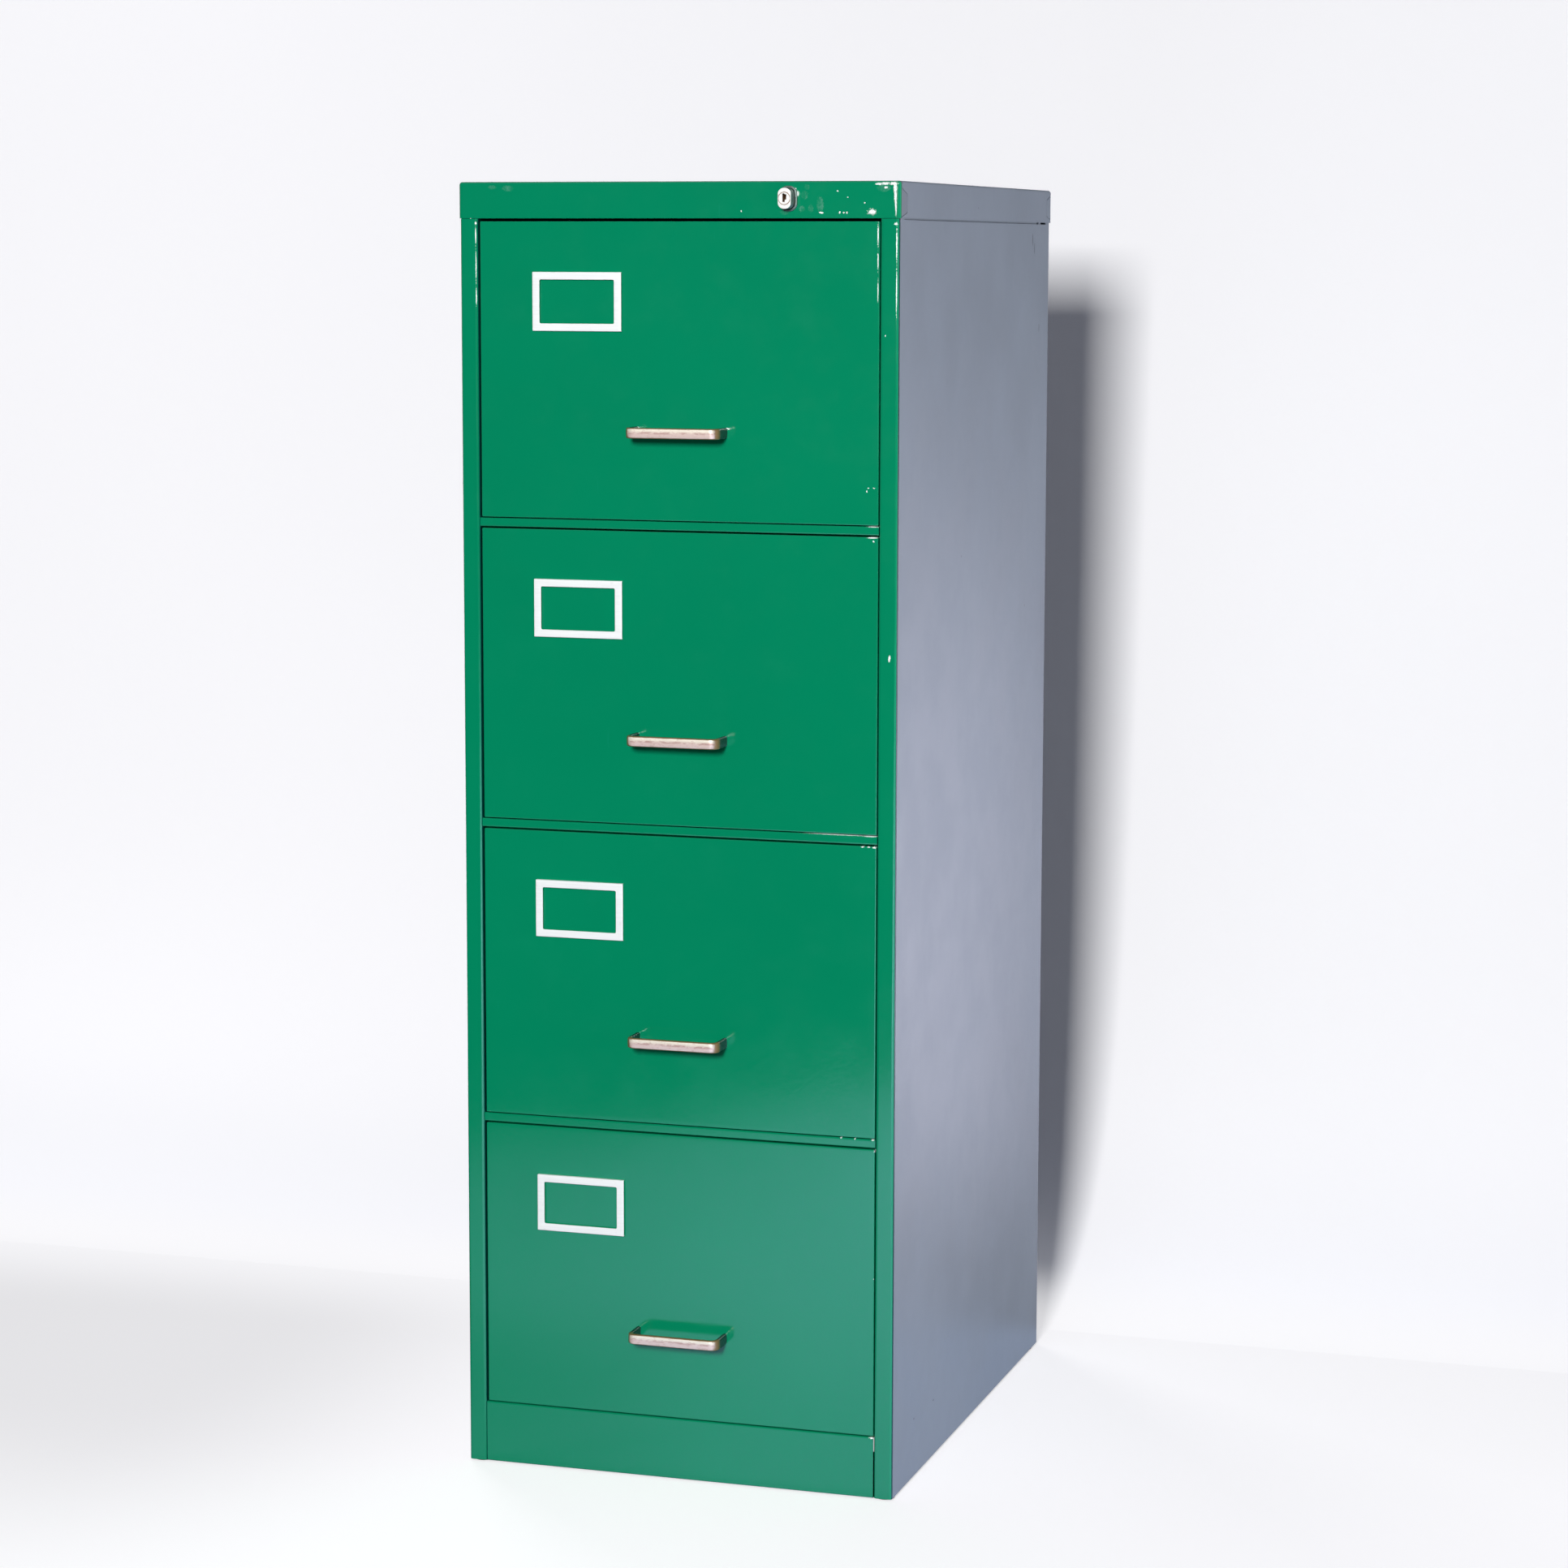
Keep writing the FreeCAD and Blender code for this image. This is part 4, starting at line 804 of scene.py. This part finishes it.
def green_enamel(name, colours, chip_and_highlight_places, edge_field=None, scuff_places=(), wrap=None, behind_wrap=None):
    """Gloss green enamel: slow clouding, orange peel, small nibs of dust, fine scratches, soft scuffs,
    chips down to the pale ground mixed with painted highlights in the same pale colour, and rubbed
    edges where the mesh carries an edge field. Further behind the front than the wrap the paint has
    another colour, which on the posts is a painted shade."""
    recipe = Recipe(name)
    base, normal = enamel_parts(recipe, colours.green)
    dull = recipe.noise(26.0, 5.0, 0.65)
    base = recipe.stain(base, GREEN_FILM, dull, 0.55, 0.8, 0.02)
    base = recipe.mix(recipe.times(recipe.specks(19.0, 0.022, 0.35), 0.5), base, GREEN_NIB)
    scratches = recipe.noise(30.0, 3.0, 0.6, (14.0, 14.0, 0.6))
    base = recipe.stain(base, GREEN_SCRATCH, scratches, 0.72, 0.78, 0.08)
    if wrap is not None:
        base = recipe.mix(recipe.fade(recipe.axes[1], FRONT + wrap, FRONT + 1.15 * wrap), base, behind_wrap)
    if scuff_places:
        smear = recipe.noise(200.0, 5.0, 0.75, (1.0, 1.0, 0.6))
        near = recipe.chips(scuff_places, 2.0)
        soft = recipe.times(near, recipe.fade(smear, 0.40, 0.75, 0.05, 0.50))
        base = recipe.mix(soft, base, GREEN_SCUFF)
    # The spots mix chips with painted highlights along folds and edges
    bare_and_highlight = recipe.chips(chip_and_highlight_places, 4.2)
    if edge_field:
        ragged = recipe.fade(recipe.noise(75.0, 5.0, 0.75), 0.68, 0.74)
        rubbed = recipe.times(recipe.fade(recipe.field(edge_field), 0.5, 0.95), ragged)
        bare_and_highlight = recipe.largest(bare_and_highlight, rubbed)
    gloss = recipe.fade(dull, 0.3, 0.8, 0.10, 0.16)
    return recipe.finish(
        Base_Color=recipe.mix(bare_and_highlight, base, colours.bare_and_highlight), Roughness=recipe.blend(bare_and_highlight, gloss, 0.5),
        IOR=1.6, Normal=normal,
    )


def grey_enamel(name, colours, scratch_places=(), inside=False):
    """Satin grey enamel: clouding, a fine texture, faint rubs and a few dark scratches."""
    recipe = Recipe(name)
    base, normal = enamel_parts(recipe, colours.grey, 0.04)
    base = recipe.stain(base, GREY_RUB, recipe.noise(9.0, 6.0, 0.7, (1.0, 1.0, 0.35)), 0.5, 0.8, 0.10)
    streaks = recipe.noise(24.0, 4.0, 0.6, (1.0, 12.0, 0.5))
    base = recipe.stain(base, GREY_STREAK, streaks, 0.68, 0.75, 0.12)
    base = recipe.mix(recipe.times(recipe.specks(22.0, 0.035, 0.4), 0.5), base, GREY_NIB)
    if scratch_places:
        base = recipe.mix(recipe.chips(scratch_places, 1.0, 1), base, GREY_SCRATCH)
    if inside:
        base = recipe.stain(base, INNER_DUST, recipe.noise(14.0, 4.0), 0.4, 0.75, 0.12)
    gloss = recipe.fade(recipe.noise(12.0, 4.0), 0.3, 0.7, 0.36, 0.46)
    return recipe.finish(Base_Color=base, Roughness=gloss, IOR=1.5, Normal=normal)


def metal_finish(recipe, base, pattern, gloss, metallic, depth):
    """Ends a metal's recipe: one pattern varies its gloss and roughens its surface."""
    return recipe.finish(
        Base_Color=base, Roughness=recipe.fade(pattern, 0.3, 0.7, *gloss), Metallic=metallic,
        Normal=recipe.bump(pattern, depth),
    )


def worn_nickel(name, colours):
    """Old nickel plate: rosy on the bar's face with a painted cream highlight along its upper half, a
    broken red-brown line along its middle, brown tarnish at edges and bends, a painted shade with a
    painted green reflection on the legs, and small dark pits."""
    recipe = Recipe(name)
    rise = recipe.field("rise")
    mottle = recipe.noise(420.0, 5.0, 0.7, (0.45, 1.0, 1.0))
    patch = recipe.noise(95.0, 4.0, 0.65)
    # Painted highlight: cream towards the upper edge of the bar's face, rosy below
    bright = recipe.mix(recipe.fade(rise, -0.2, 0.6), colours.rosy, colours.nickel)
    bright = recipe.stain(bright, colours.bloom, mottle, 0.50, 0.70, 0.5)
    from_line = recipe.math("ABSOLUTE", recipe.math("SUBTRACT", rise, 0.08))
    broken = recipe.fade(recipe.noise(330.0, 4.0, 0.7, (0.3, 1.0, 1.0)), 0.42, 0.60, 0.0, 0.75)
    line = recipe.times(recipe.fade(from_line, 0.34, 0.06), broken)
    bright = recipe.mix(line, bright, colours.bloom)
    bright = recipe.stain(bright, colours.tarnish, patch, 0.60, 0.74, 0.4)
    keep = recipe.fade(recipe.math("MULTIPLY_ADD", patch, 0.4, recipe.field("clean")), 0.80, 1.06)
    # Tarnish near the bends, then the painted shade and green reflection along the legs
    brown = recipe.mix(recipe.fade(recipe.axes[1], *LEG_SPAN), LEG_SHADE, colours.tarnish)
    base = recipe.mix(keep, brown, bright)
    base = recipe.mix(recipe.specks(330.0, 0.16, 0.30), base, NICKEL_PIT)
    metallic = recipe.fade(keep, 0.0, 1.0, 0.6, 0.25)
    return metal_finish(recipe, base, mottle, (0.28, 0.46), metallic, 0.00006)


def label_metal(name, colours):
    """Bright satin metal: fine lengthwise brushing and a few dull spots."""
    recipe = Recipe(name)
    brush = recipe.noise(240.0, 4.0, 0.6, (0.12, 1.0, 5.0))
    base = recipe.shade(colours.label, recipe.fade(brush, 0.3, 0.7, 0.97, 1.03))
    base = recipe.stain(base, LABEL_SPOT, recipe.noise(130.0, 3.0), 0.66, 0.74, 0.25)
    return metal_finish(recipe, base, brush, (0.38, 0.5), 0.06, METAL_GRAIN)


def lock_plating(name, colours):
    """Worn chrome on the face, and on the button's side and at the collar a painted shade with a painted
    reflection of the green paint.
    """
    recipe = Recipe(name)
    haze = recipe.noise(520.0, 4.0, 0.65)
    # Painted shade and green reflection behind the button's face
    side_shade = recipe.fade(recipe.axes[1], *COLLAR_SPAN, 0.0, 0.9)
    base = recipe.mix(side_shade, colours.chrome, recipe.mix(haze, *SIDE_SHADE_AND_REFLECTION))
    base = recipe.stain(base, colours.tarnish, haze, 0.66, 0.74, 0.4)
    metallic = recipe.fade(side_shade, 0.0, 0.9, 0.1, 0.6)
    return metal_finish(recipe, base, haze, (0.26, 0.42), metallic, METAL_GRAIN)


def plug_metal(name, colours):
    """The plug's face: nickel-washed, brown at its rim, with brass in the key slot."""
    recipe = Recipe(name)
    haze = recipe.noise(480.0, 4.0, 0.65)
    centre, (radius, _), _ = measure(PLUG)
    deep = recipe.fade(recipe.axes[1], *SLOT_SPAN)
    base = recipe.stain(colours.chrome, colours.tarnish, haze, 0.64, 0.74, 0.5)
    away = recipe.away(0, centre[0], centre[2])
    rim = recipe.fade(away, radius - PLUG_RIM[0], radius - PLUG_RIM[1])
    base = recipe.mix(recipe.largest(deep, rim), base, colours.brass)
    return metal_finish(recipe, base, haze, (0.28, 0.42), 0.1, METAL_GRAIN)


def zinc_plate(name, colours, shine=0.0):
    """Bright zinc: spangled patches, a film of old grease and rolling lines."""
    recipe = Recipe(name)
    cells = recipe.add("ShaderNodeTexVoronoi", {"Vector": recipe.place, "Scale": 160.0})
    spangle = recipe.fade(cells.outputs["Color"], 0.0, 1.0, 0.90, 1.06)
    base = recipe.shade(colours.zinc, spangle)
    lines = recipe.noise(60.0, 4.0, 0.6, (9.0, 0.25, 9.0))
    base = recipe.stain(base, GREASE, recipe.noise(22.0, 5.0, 0.65), 0.5, 0.75, 0.45)
    return metal_finish(recipe, base, lines, (0.26 - shine, 0.46 - shine), 0.9, METAL_GRAIN)


def moulded(name, base, pale, gloss):
    """A moulded or turned dull material with a fine grain and scuffed high spots."""
    recipe = Recipe(name)
    grain = recipe.noise(700.0, 3.0)
    mixed = recipe.stain(base, pale, recipe.noise(110.0, 5.0, 0.7), 0.5, 0.8, 0.5)
    return recipe.finish(Base_Color=mixed, Roughness=gloss, Normal=recipe.bump(grain, 0.00005))


class CABINET_OT_body_paint(bpy.types.Operator):
    """Paint the posts, rails, plinth and fascia green, and the panels and cap grey"""

    bl_idname = "cabinet.body_paint"
    bl_label = "Body Paint"

    def execute(self, context):
        colours = context.scene.cabinet_colours
        fascia = green_enamel(
            "fascia_enamel", colours, FASCIA_CHIPS_AND_HIGHLIGHTS, None, FASCIA_SCUFFS, FASCIA_WRAP, colours.grey
        )
        # Behind the wrap the posts carry the painted shade of the corner beside the side panels
        posts = green_enamel("post_enamel", colours, POST_CHIPS_AND_HIGHLIGHTS, wrap=POST_WRAP, behind_wrap=colours.seam)
        rails = green_enamel("rail_enamel", colours, RAIL_HIGHLIGHTS_AND_CHIPS)
        dress(fascia, "cap_fascia")
        dress(posts, "front_post_right", "front_post_left")
        dress(rails, "cross_rails", "plinth_panel")
        side = grey_enamel("panel_enamel", colours, PANEL_SCRATCHES)
        dress(side, "side_panel_right", "side_panel_left", "back_panel")
        dress(grey_enamel("cap_enamel", colours, CAP_SCRATCHES), "top_cap")
        inner = grey_enamel("inner_enamel", colours, inside=True)
        dress(inner, "rear_posts", *numbered("drawer_tray"))
        return {"FINISHED"}


class CABINET_OT_slides(bpy.types.Operator):
    """Finish the ball slides, their stops and screws, and the base frame with its feet"""

    bl_idname = "cabinet.slides"
    bl_label = "Slides and Feet"

    def execute(self, context):
        colours = context.scene.cabinet_colours
        slides = zinc_plate("slide_zinc", colours)
        dress(slides, "cabinet_runners", "runner_screws", "base_frame", "foot_nuts")
        dress(slides, *numbered("drawer_runners"), *numbered("slide_members"))
        dress(zinc_plate("ball_steel", colours, 0.14), *numbered("ball_cages"))
        dress(moulded("stop_rubber", colours.rubber, RUBBER_SCUFF, 0.72), "runner_buffers")
        dress(moulded("foot_glide", colours.foot, FOOT_SCUFF, 0.55), "levelling_feet")
        return {"FINISHED"}


# Studio

FLOOR_SIZE = 9.0
SHEET_END = (2.0, 2.7)
SHEET_SKEW = 1.33
BOUNCE_GAIN = 0.3
WALL_GAIN = 1.13
FLOOR_GAIN = 1.85
FLOOR_GLOW = 0.6
GLOW_HEIGHT = 0.045
GAIN_HEIGHT = 0.046
GAIN_POWER = 0.7
SHADE_LEFT = 0.155
FLOOR_TINT = (0.70, 0.98, 1.52)
WALL_TINT = (1.0, 0.96, 1.13)
BACKDROP_WIDTH = 4.5
BACKDROP_HEIGHT = 3.4
BACKDROP_START = 0.06
BACKDROP_SPREAD = 0.36
BACKDROP_RISE = 0.10
BACKDROP_POWER = 0.75
BACKDROP_ROWS = 60
BACKDROP_LEAN = 0.13
PAPER_CLOUD = (0.985, 1.01)
FLOOR_LEFT_GAIN = 0.93
WALL_LEFT_GAIN = 1.2

# Where the stage's brightness changes: the start and end of a smooth step along one axis
FLOOR_SPAN = (-1.0, 0.2)
WALL_SPAN = (-1.6, 0.3)
SHADE_ACROSS = (-0.22, -0.65)
SHADE_NEAR = (-1.0, -0.2)
SHADE_FAR = (0.45, 0.12)
GLOSS_BESIDE = (FRONT - 0.05, FRONT + 0.05)
GLOSS_AHEAD = (FRONT - 0.75, FRONT - 0.25)
GLOSS_LEFT = (0.15, -0.25)
GLOSS_ACROSS = (-0.7, 0.0)
SWEEP_ASIDE = (0.30, 0.65)
SWEEP_FOOT = (0.0, 0.2)
SWEEP_TOP = (0.4, 1.2)
ROOM_REAR = (-0.55, 0.35)

# Each lamp's place, target and width
LAMPS = {
    "key": ((0.74, -6.0, 2.42), (0.0, -0.2, 0.75), 1.0),
    "side": ((2.6, -0.2, 0.75), (0.2, 0.0, 0.65), 1.0),
    "rear": ((-2.6, 3.0, 2.3), (0.0, 0.2, 0.7), 1.6),
}

CAMERA_PLACE = (1.2774, -4.02418, 1.24992)
CAMERA_TURN = (82.3845, -0.1433, 17.3553)
CAMERA_LENS = 90.931
SENSOR_WIDTH = 36.0


def gloss_share(recipe, backdrop):
    """How brightly gloss sees the paper. The sweep is brightest to gloss at either side of the cabinet,
    from a little above the floor to its middle height. The floor is brightest well ahead of the
    cabinet and to the right."""
    x, y, z = recipe.axes
    if not backdrop:
        beside = recipe.fade(y, *GLOSS_BESIDE, 1.0, 0.35)
        left = recipe.times(recipe.fade(x, *GLOSS_LEFT), recipe.fade(y, *GLOSS_AHEAD))
        dim = recipe.math("MULTIPLY_ADD", left, -0.45, recipe.fade(x, *GLOSS_ACROSS, 0.5, 1.05))
        return recipe.times(beside, dim)
    aside = recipe.fade(recipe.math("ABSOLUTE", x), *SWEEP_ASIDE, 0.3, 1.9)
    foot = recipe.fade(z, *SWEEP_FOOT, 0.15, 1.0)
    top = recipe.fade(z, *SWEEP_TOP, 1.0, 0.1)
    return recipe.times(aside, foot, top)


def stage_material(name, settings, backdrop):
    """Pale paper. Camera and glass see it whole. To gloss and to bounced light the floor's paper ends
    about two metres in front of the cabinet, where the dark studio floor starts. The camera and glossy
    surfaces see a brighter paper than bounced light does, and its gain goes from the floor's to the
    wall's as an exponential of a power of the height. The floor at the left lies in a soft shade. On
    the floor part of what the camera sees glows evenly, which keeps shadows light there. A backdrop
    is clear from behind."""
    recipe = Recipe(name)
    x, y, z = recipe.axes
    path = recipe.add("ShaderNodeLightPath").outputs
    paper = 1.0
    if not backdrop:
        ahead = recipe.math("MULTIPLY_ADD", x, -SHEET_SKEW, recipe.math("SUBTRACT", FRONT, y))
        paper = recipe.fade(ahead, *SHEET_END, 1.0, 0.0)
    whole = recipe.largest(path["Is Camera Ray"], path["Is Transmission Ray"])
    seen = recipe.largest(whole, path["Is Glossy Ray"])
    base = recipe.mix(recipe.largest(whole, paper), settings.dark, settings.pale)
    tint = recipe.shade(WALL_TINT if backdrop else FLOOR_TINT, gloss_share(recipe, backdrop))
    tinted = recipe.add("ShaderNodeMix", data_type="RGBA", blend_type="MULTIPLY")
    recipe.feed(tinted, {0: path["Is Glossy Ray"], 6: base, 7: tint})
    shade = recipe.times(
        recipe.fade(x, *SHADE_ACROSS), recipe.fade(y, *SHADE_NEAR), recipe.fade(y, *SHADE_FAR)
    )
    cloud = recipe.fade(recipe.noise(0.8, 2.0), 0.3, 0.7, *PAPER_CLOUD)
    # Painted shade on the floor at the left
    cloud = recipe.times(cloud, recipe.math("MULTIPLY_ADD", shade, -SHADE_LEFT, 1.0))
    on_floor = recipe.fade(x, *FLOOR_SPAN, FLOOR_LEFT_GAIN * FLOOR_GAIN, FLOOR_GAIN)
    on_wall = recipe.fade(x, *WALL_SPAN, WALL_LEFT_GAIN * WALL_GAIN, WALL_GAIN)
    rise = recipe.math("POWER", recipe.math("DIVIDE", z, GAIN_HEIGHT), GAIN_POWER)
    level = recipe.math("EXPONENT", recipe.times(rise, -1.0))
    gain = recipe.blend(seen, BOUNCE_GAIN, recipe.blend(level, on_wall, on_floor))
    colour_of_light = recipe.shade(tinted.outputs[2], recipe.times(cloud, gain))
    lit = recipe.add("ShaderNodeBsdfDiffuse", {0: colour_of_light})
    glow = recipe.add("ShaderNodeEmission", {0: recipe.shade(settings.pale, cloud)})
    glowing = recipe.times(recipe.fade(z, 0.0, GLOW_HEIGHT, FLOOR_GLOW, 0.0), path["Is Camera Ray"])
    mixed = recipe.add("ShaderNodeMixShader", {0: glowing, 1: lit.outputs[0], 2: glow.outputs[0]})
    if backdrop:
        behind = recipe.add("ShaderNodeNewGeometry").outputs["Backfacing"]
        clear = recipe.add("ShaderNodeBsdfTransparent").outputs[0]
        mixed = recipe.add("ShaderNodeMixShader", {0: behind, 1: mixed.outputs[0], 2: clear})
    recipe.tree.nodes.remove(recipe.tree.nodes["Principled BSDF"])
    recipe.feed(recipe.tree.nodes["Material Output"], {"Surface": mixed.outputs[0]})
    return recipe.block


def stage_sheet(name, rows, material):
    """One sheet of the stage from its rows of points."""
    mesh = bpy.data.meshes.new(name)
    quads = grid_quads(rows.shape[0], rows.shape[1], False, False)
    mesh.from_pydata(rows.reshape(-1, 3).tolist(), [], quads.tolist())
    mesh.polygons.foreach_set("use_smooth", np.ones(len(mesh.polygons), bool))
    sheet = bpy.data.objects.new(name, mesh)
    sheet.data.materials.append(material)
    bpy.context.scene.collection.objects.link(sheet)
    return sheet


def floor_rows():
    """A flat square on the floor."""
    side = np.linspace(-FLOOR_SIZE, FLOOR_SIZE, 3)
    x, y = np.meshgrid(side, side)
    return np.stack([x, y, np.zeros_like(x)], axis=-1)


def backdrop_rows():
    """A paper sweep behind the cabinet. It starts level with the floor. Past the start, its distance
    behind the cabinet's back nears the spread as an exponential of a power of the height over the rise,
    and grows further by the lean times the height."""
    up = np.linspace(0.0, BACKDROP_HEIGHT ** 0.5, BACKDROP_ROWS) ** 2
    near = np.exp(-((up / BACKDROP_RISE) ** BACKDROP_POWER))
    behind = REAR + BACKDROP_START + BACKDROP_SPREAD * (1.0 - near) + BACKDROP_LEAN * up
    x = np.array([-BACKDROP_WIDTH, BACKDROP_WIDTH])
    rows = np.zeros((up.size, x.size, 3))
    rows[:, :, 0] = x[None, :]
    rows[:, :, 1] = behind[:, None]
    rows[:, :, 2] = up[:, None]
    return rows


def soft_lamp(name, place, target, width, power, lit=None):
    """A square soft box that faces its target. With a group of lit pieces, it lights only those, and
    isn't mirrored in them."""
    lamp = bpy.data.lights.new(name, "AREA")
    lamp.shape = "RECTANGLE"
    lamp.size = width
    lamp.size_y = width
    lamp.energy = power
    box = bpy.data.objects.new(name, lamp)
    box.location = place
    box.rotation_euler = (Vector(target) - Vector(place)).to_track_quat("-Z", "Y").to_euler()
    box.light_linking.receiver_collection = lit
    box.visible_glossy = lit is None
    bpy.context.scene.collection.objects.link(box)


def studio_world(settings):
    """The room: pale behind the cabinet and to every camera ray, dark behind the camera to gloss, and
    an even soft light to everything else."""
    recipe = Recipe("studio", "worlds", "Generated")
    path = recipe.add("ShaderNodeLightPath").outputs
    gloss = recipe.mix(recipe.fade(recipe.axes[1], *ROOM_REAR), settings.dark, settings.pale)
    light = recipe.mix(path["Is Glossy Ray"], settings.ambient, gloss)
    clear = recipe.mix(path["Is Transmission Ray"], light, settings.pale)
    seen = recipe.mix(path["Is Camera Ray"], clear, settings.pale)
    recipe.feed(recipe.tree.nodes["Background"], {"Color": seen})
    bpy.context.scene.world = recipe.block


class CABINET_OT_studio(bpy.types.Operator):
    """Set up the pale floor and backdrop, the soft lamps, the room and the camera"""

    bl_idname = "cabinet.studio"
    bl_label = "Studio"

    def execute(self, context):
        settings = context.scene.cabinet_studio
        pieces = bpy.data.collections.new("cabinet_pieces")
        for item in context.scene.objects:
            if item.type == "MESH":
                pieces.objects.link(item)
        stage_sheet("floor", floor_rows(), stage_material("floor_paper", settings, False))
        backdrop = stage_sheet("backdrop", backdrop_rows(), stage_material("sweep_paper", settings, True))
        backdrop.visible_diffuse = False
        backdrop.visible_shadow = False
        for name, lamp in LAMPS.items():
            soft_lamp(name, *lamp, getattr(settings, name), pieces if name == "side" else None)
        studio_world(settings)
        camera = bpy.data.cameras.new("camera")
        camera.lens = CAMERA_LENS
        camera.sensor_width = SENSOR_WIDTH
        camera.sensor_fit = "HORIZONTAL"
        view = bpy.data.objects.new("camera", camera)
        view.location = CAMERA_PLACE
        view.rotation_euler = [math.radians(turn) for turn in CAMERA_TURN]
        context.scene.collection.objects.link(view)
        context.scene.camera = view
        context.scene.view_settings.view_transform = "Standard"
        return {"FINISHED"}


# Add-on

GROUPS = {
    "cabinet_pan": PanSizes,
    "cabinet_handle": HandleSizes,
    "cabinet_label": LabelSizes,
    "cabinet_lock": LockSizes,
    "cabinet_colours": Colours,
    "cabinet_studio": StudioSettings,
}
OPERATORS = (
    CABINET_OT_drawer_pans,
    CABINET_OT_handles,
    CABINET_OT_label_frames,
    CABINET_OT_lock,
    CABINET_OT_body_paint,
    CABINET_OT_slides,
    CABINET_OT_studio,
)


class CABINET_PT_sidebar(bpy.types.Panel):
    """The cabinet's pieces and settings in the sidebar"""

    bl_label = "Filing Cabinet"
    bl_idname = "CABINET_PT_sidebar"
    bl_space_type = "VIEW_3D"
    bl_region_type = "UI"
    bl_category = "Cabinet"

    def draw(self, context):
        for operator in OPERATORS:
            self.layout.operator(operator.bl_idname)
        for group in GROUPS:
            settings = getattr(context.scene, group)
            column = self.layout.box().column()
            for setting in settings.bl_rna.properties:
                if not setting.is_readonly and setting.identifier != "name":
                    column.prop(settings, setting.identifier)


CLASSES = (*GROUPS.values(), *OPERATORS, CABINET_PT_sidebar)


def register():
    """Adds the classes and their settings."""
    for item in CLASSES:
        bpy.utils.register_class(item)
    for name, group in GROUPS.items():
        setattr(bpy.types.Scene, name, PointerProperty(type=group))


def unregister():
    """Takes the classes and their settings away."""
    for name in GROUPS:
        delattr(bpy.types.Scene, name)
    for item in reversed(CLASSES):
        bpy.utils.unregister_class(item)


def main():
    """Makes every piece in order."""
    register()
    for operator in OPERATORS:
        group, name = operator.bl_idname.split(".")
        getattr(getattr(bpy.ops, group), name)()


if __name__ == "__main__":
    main()
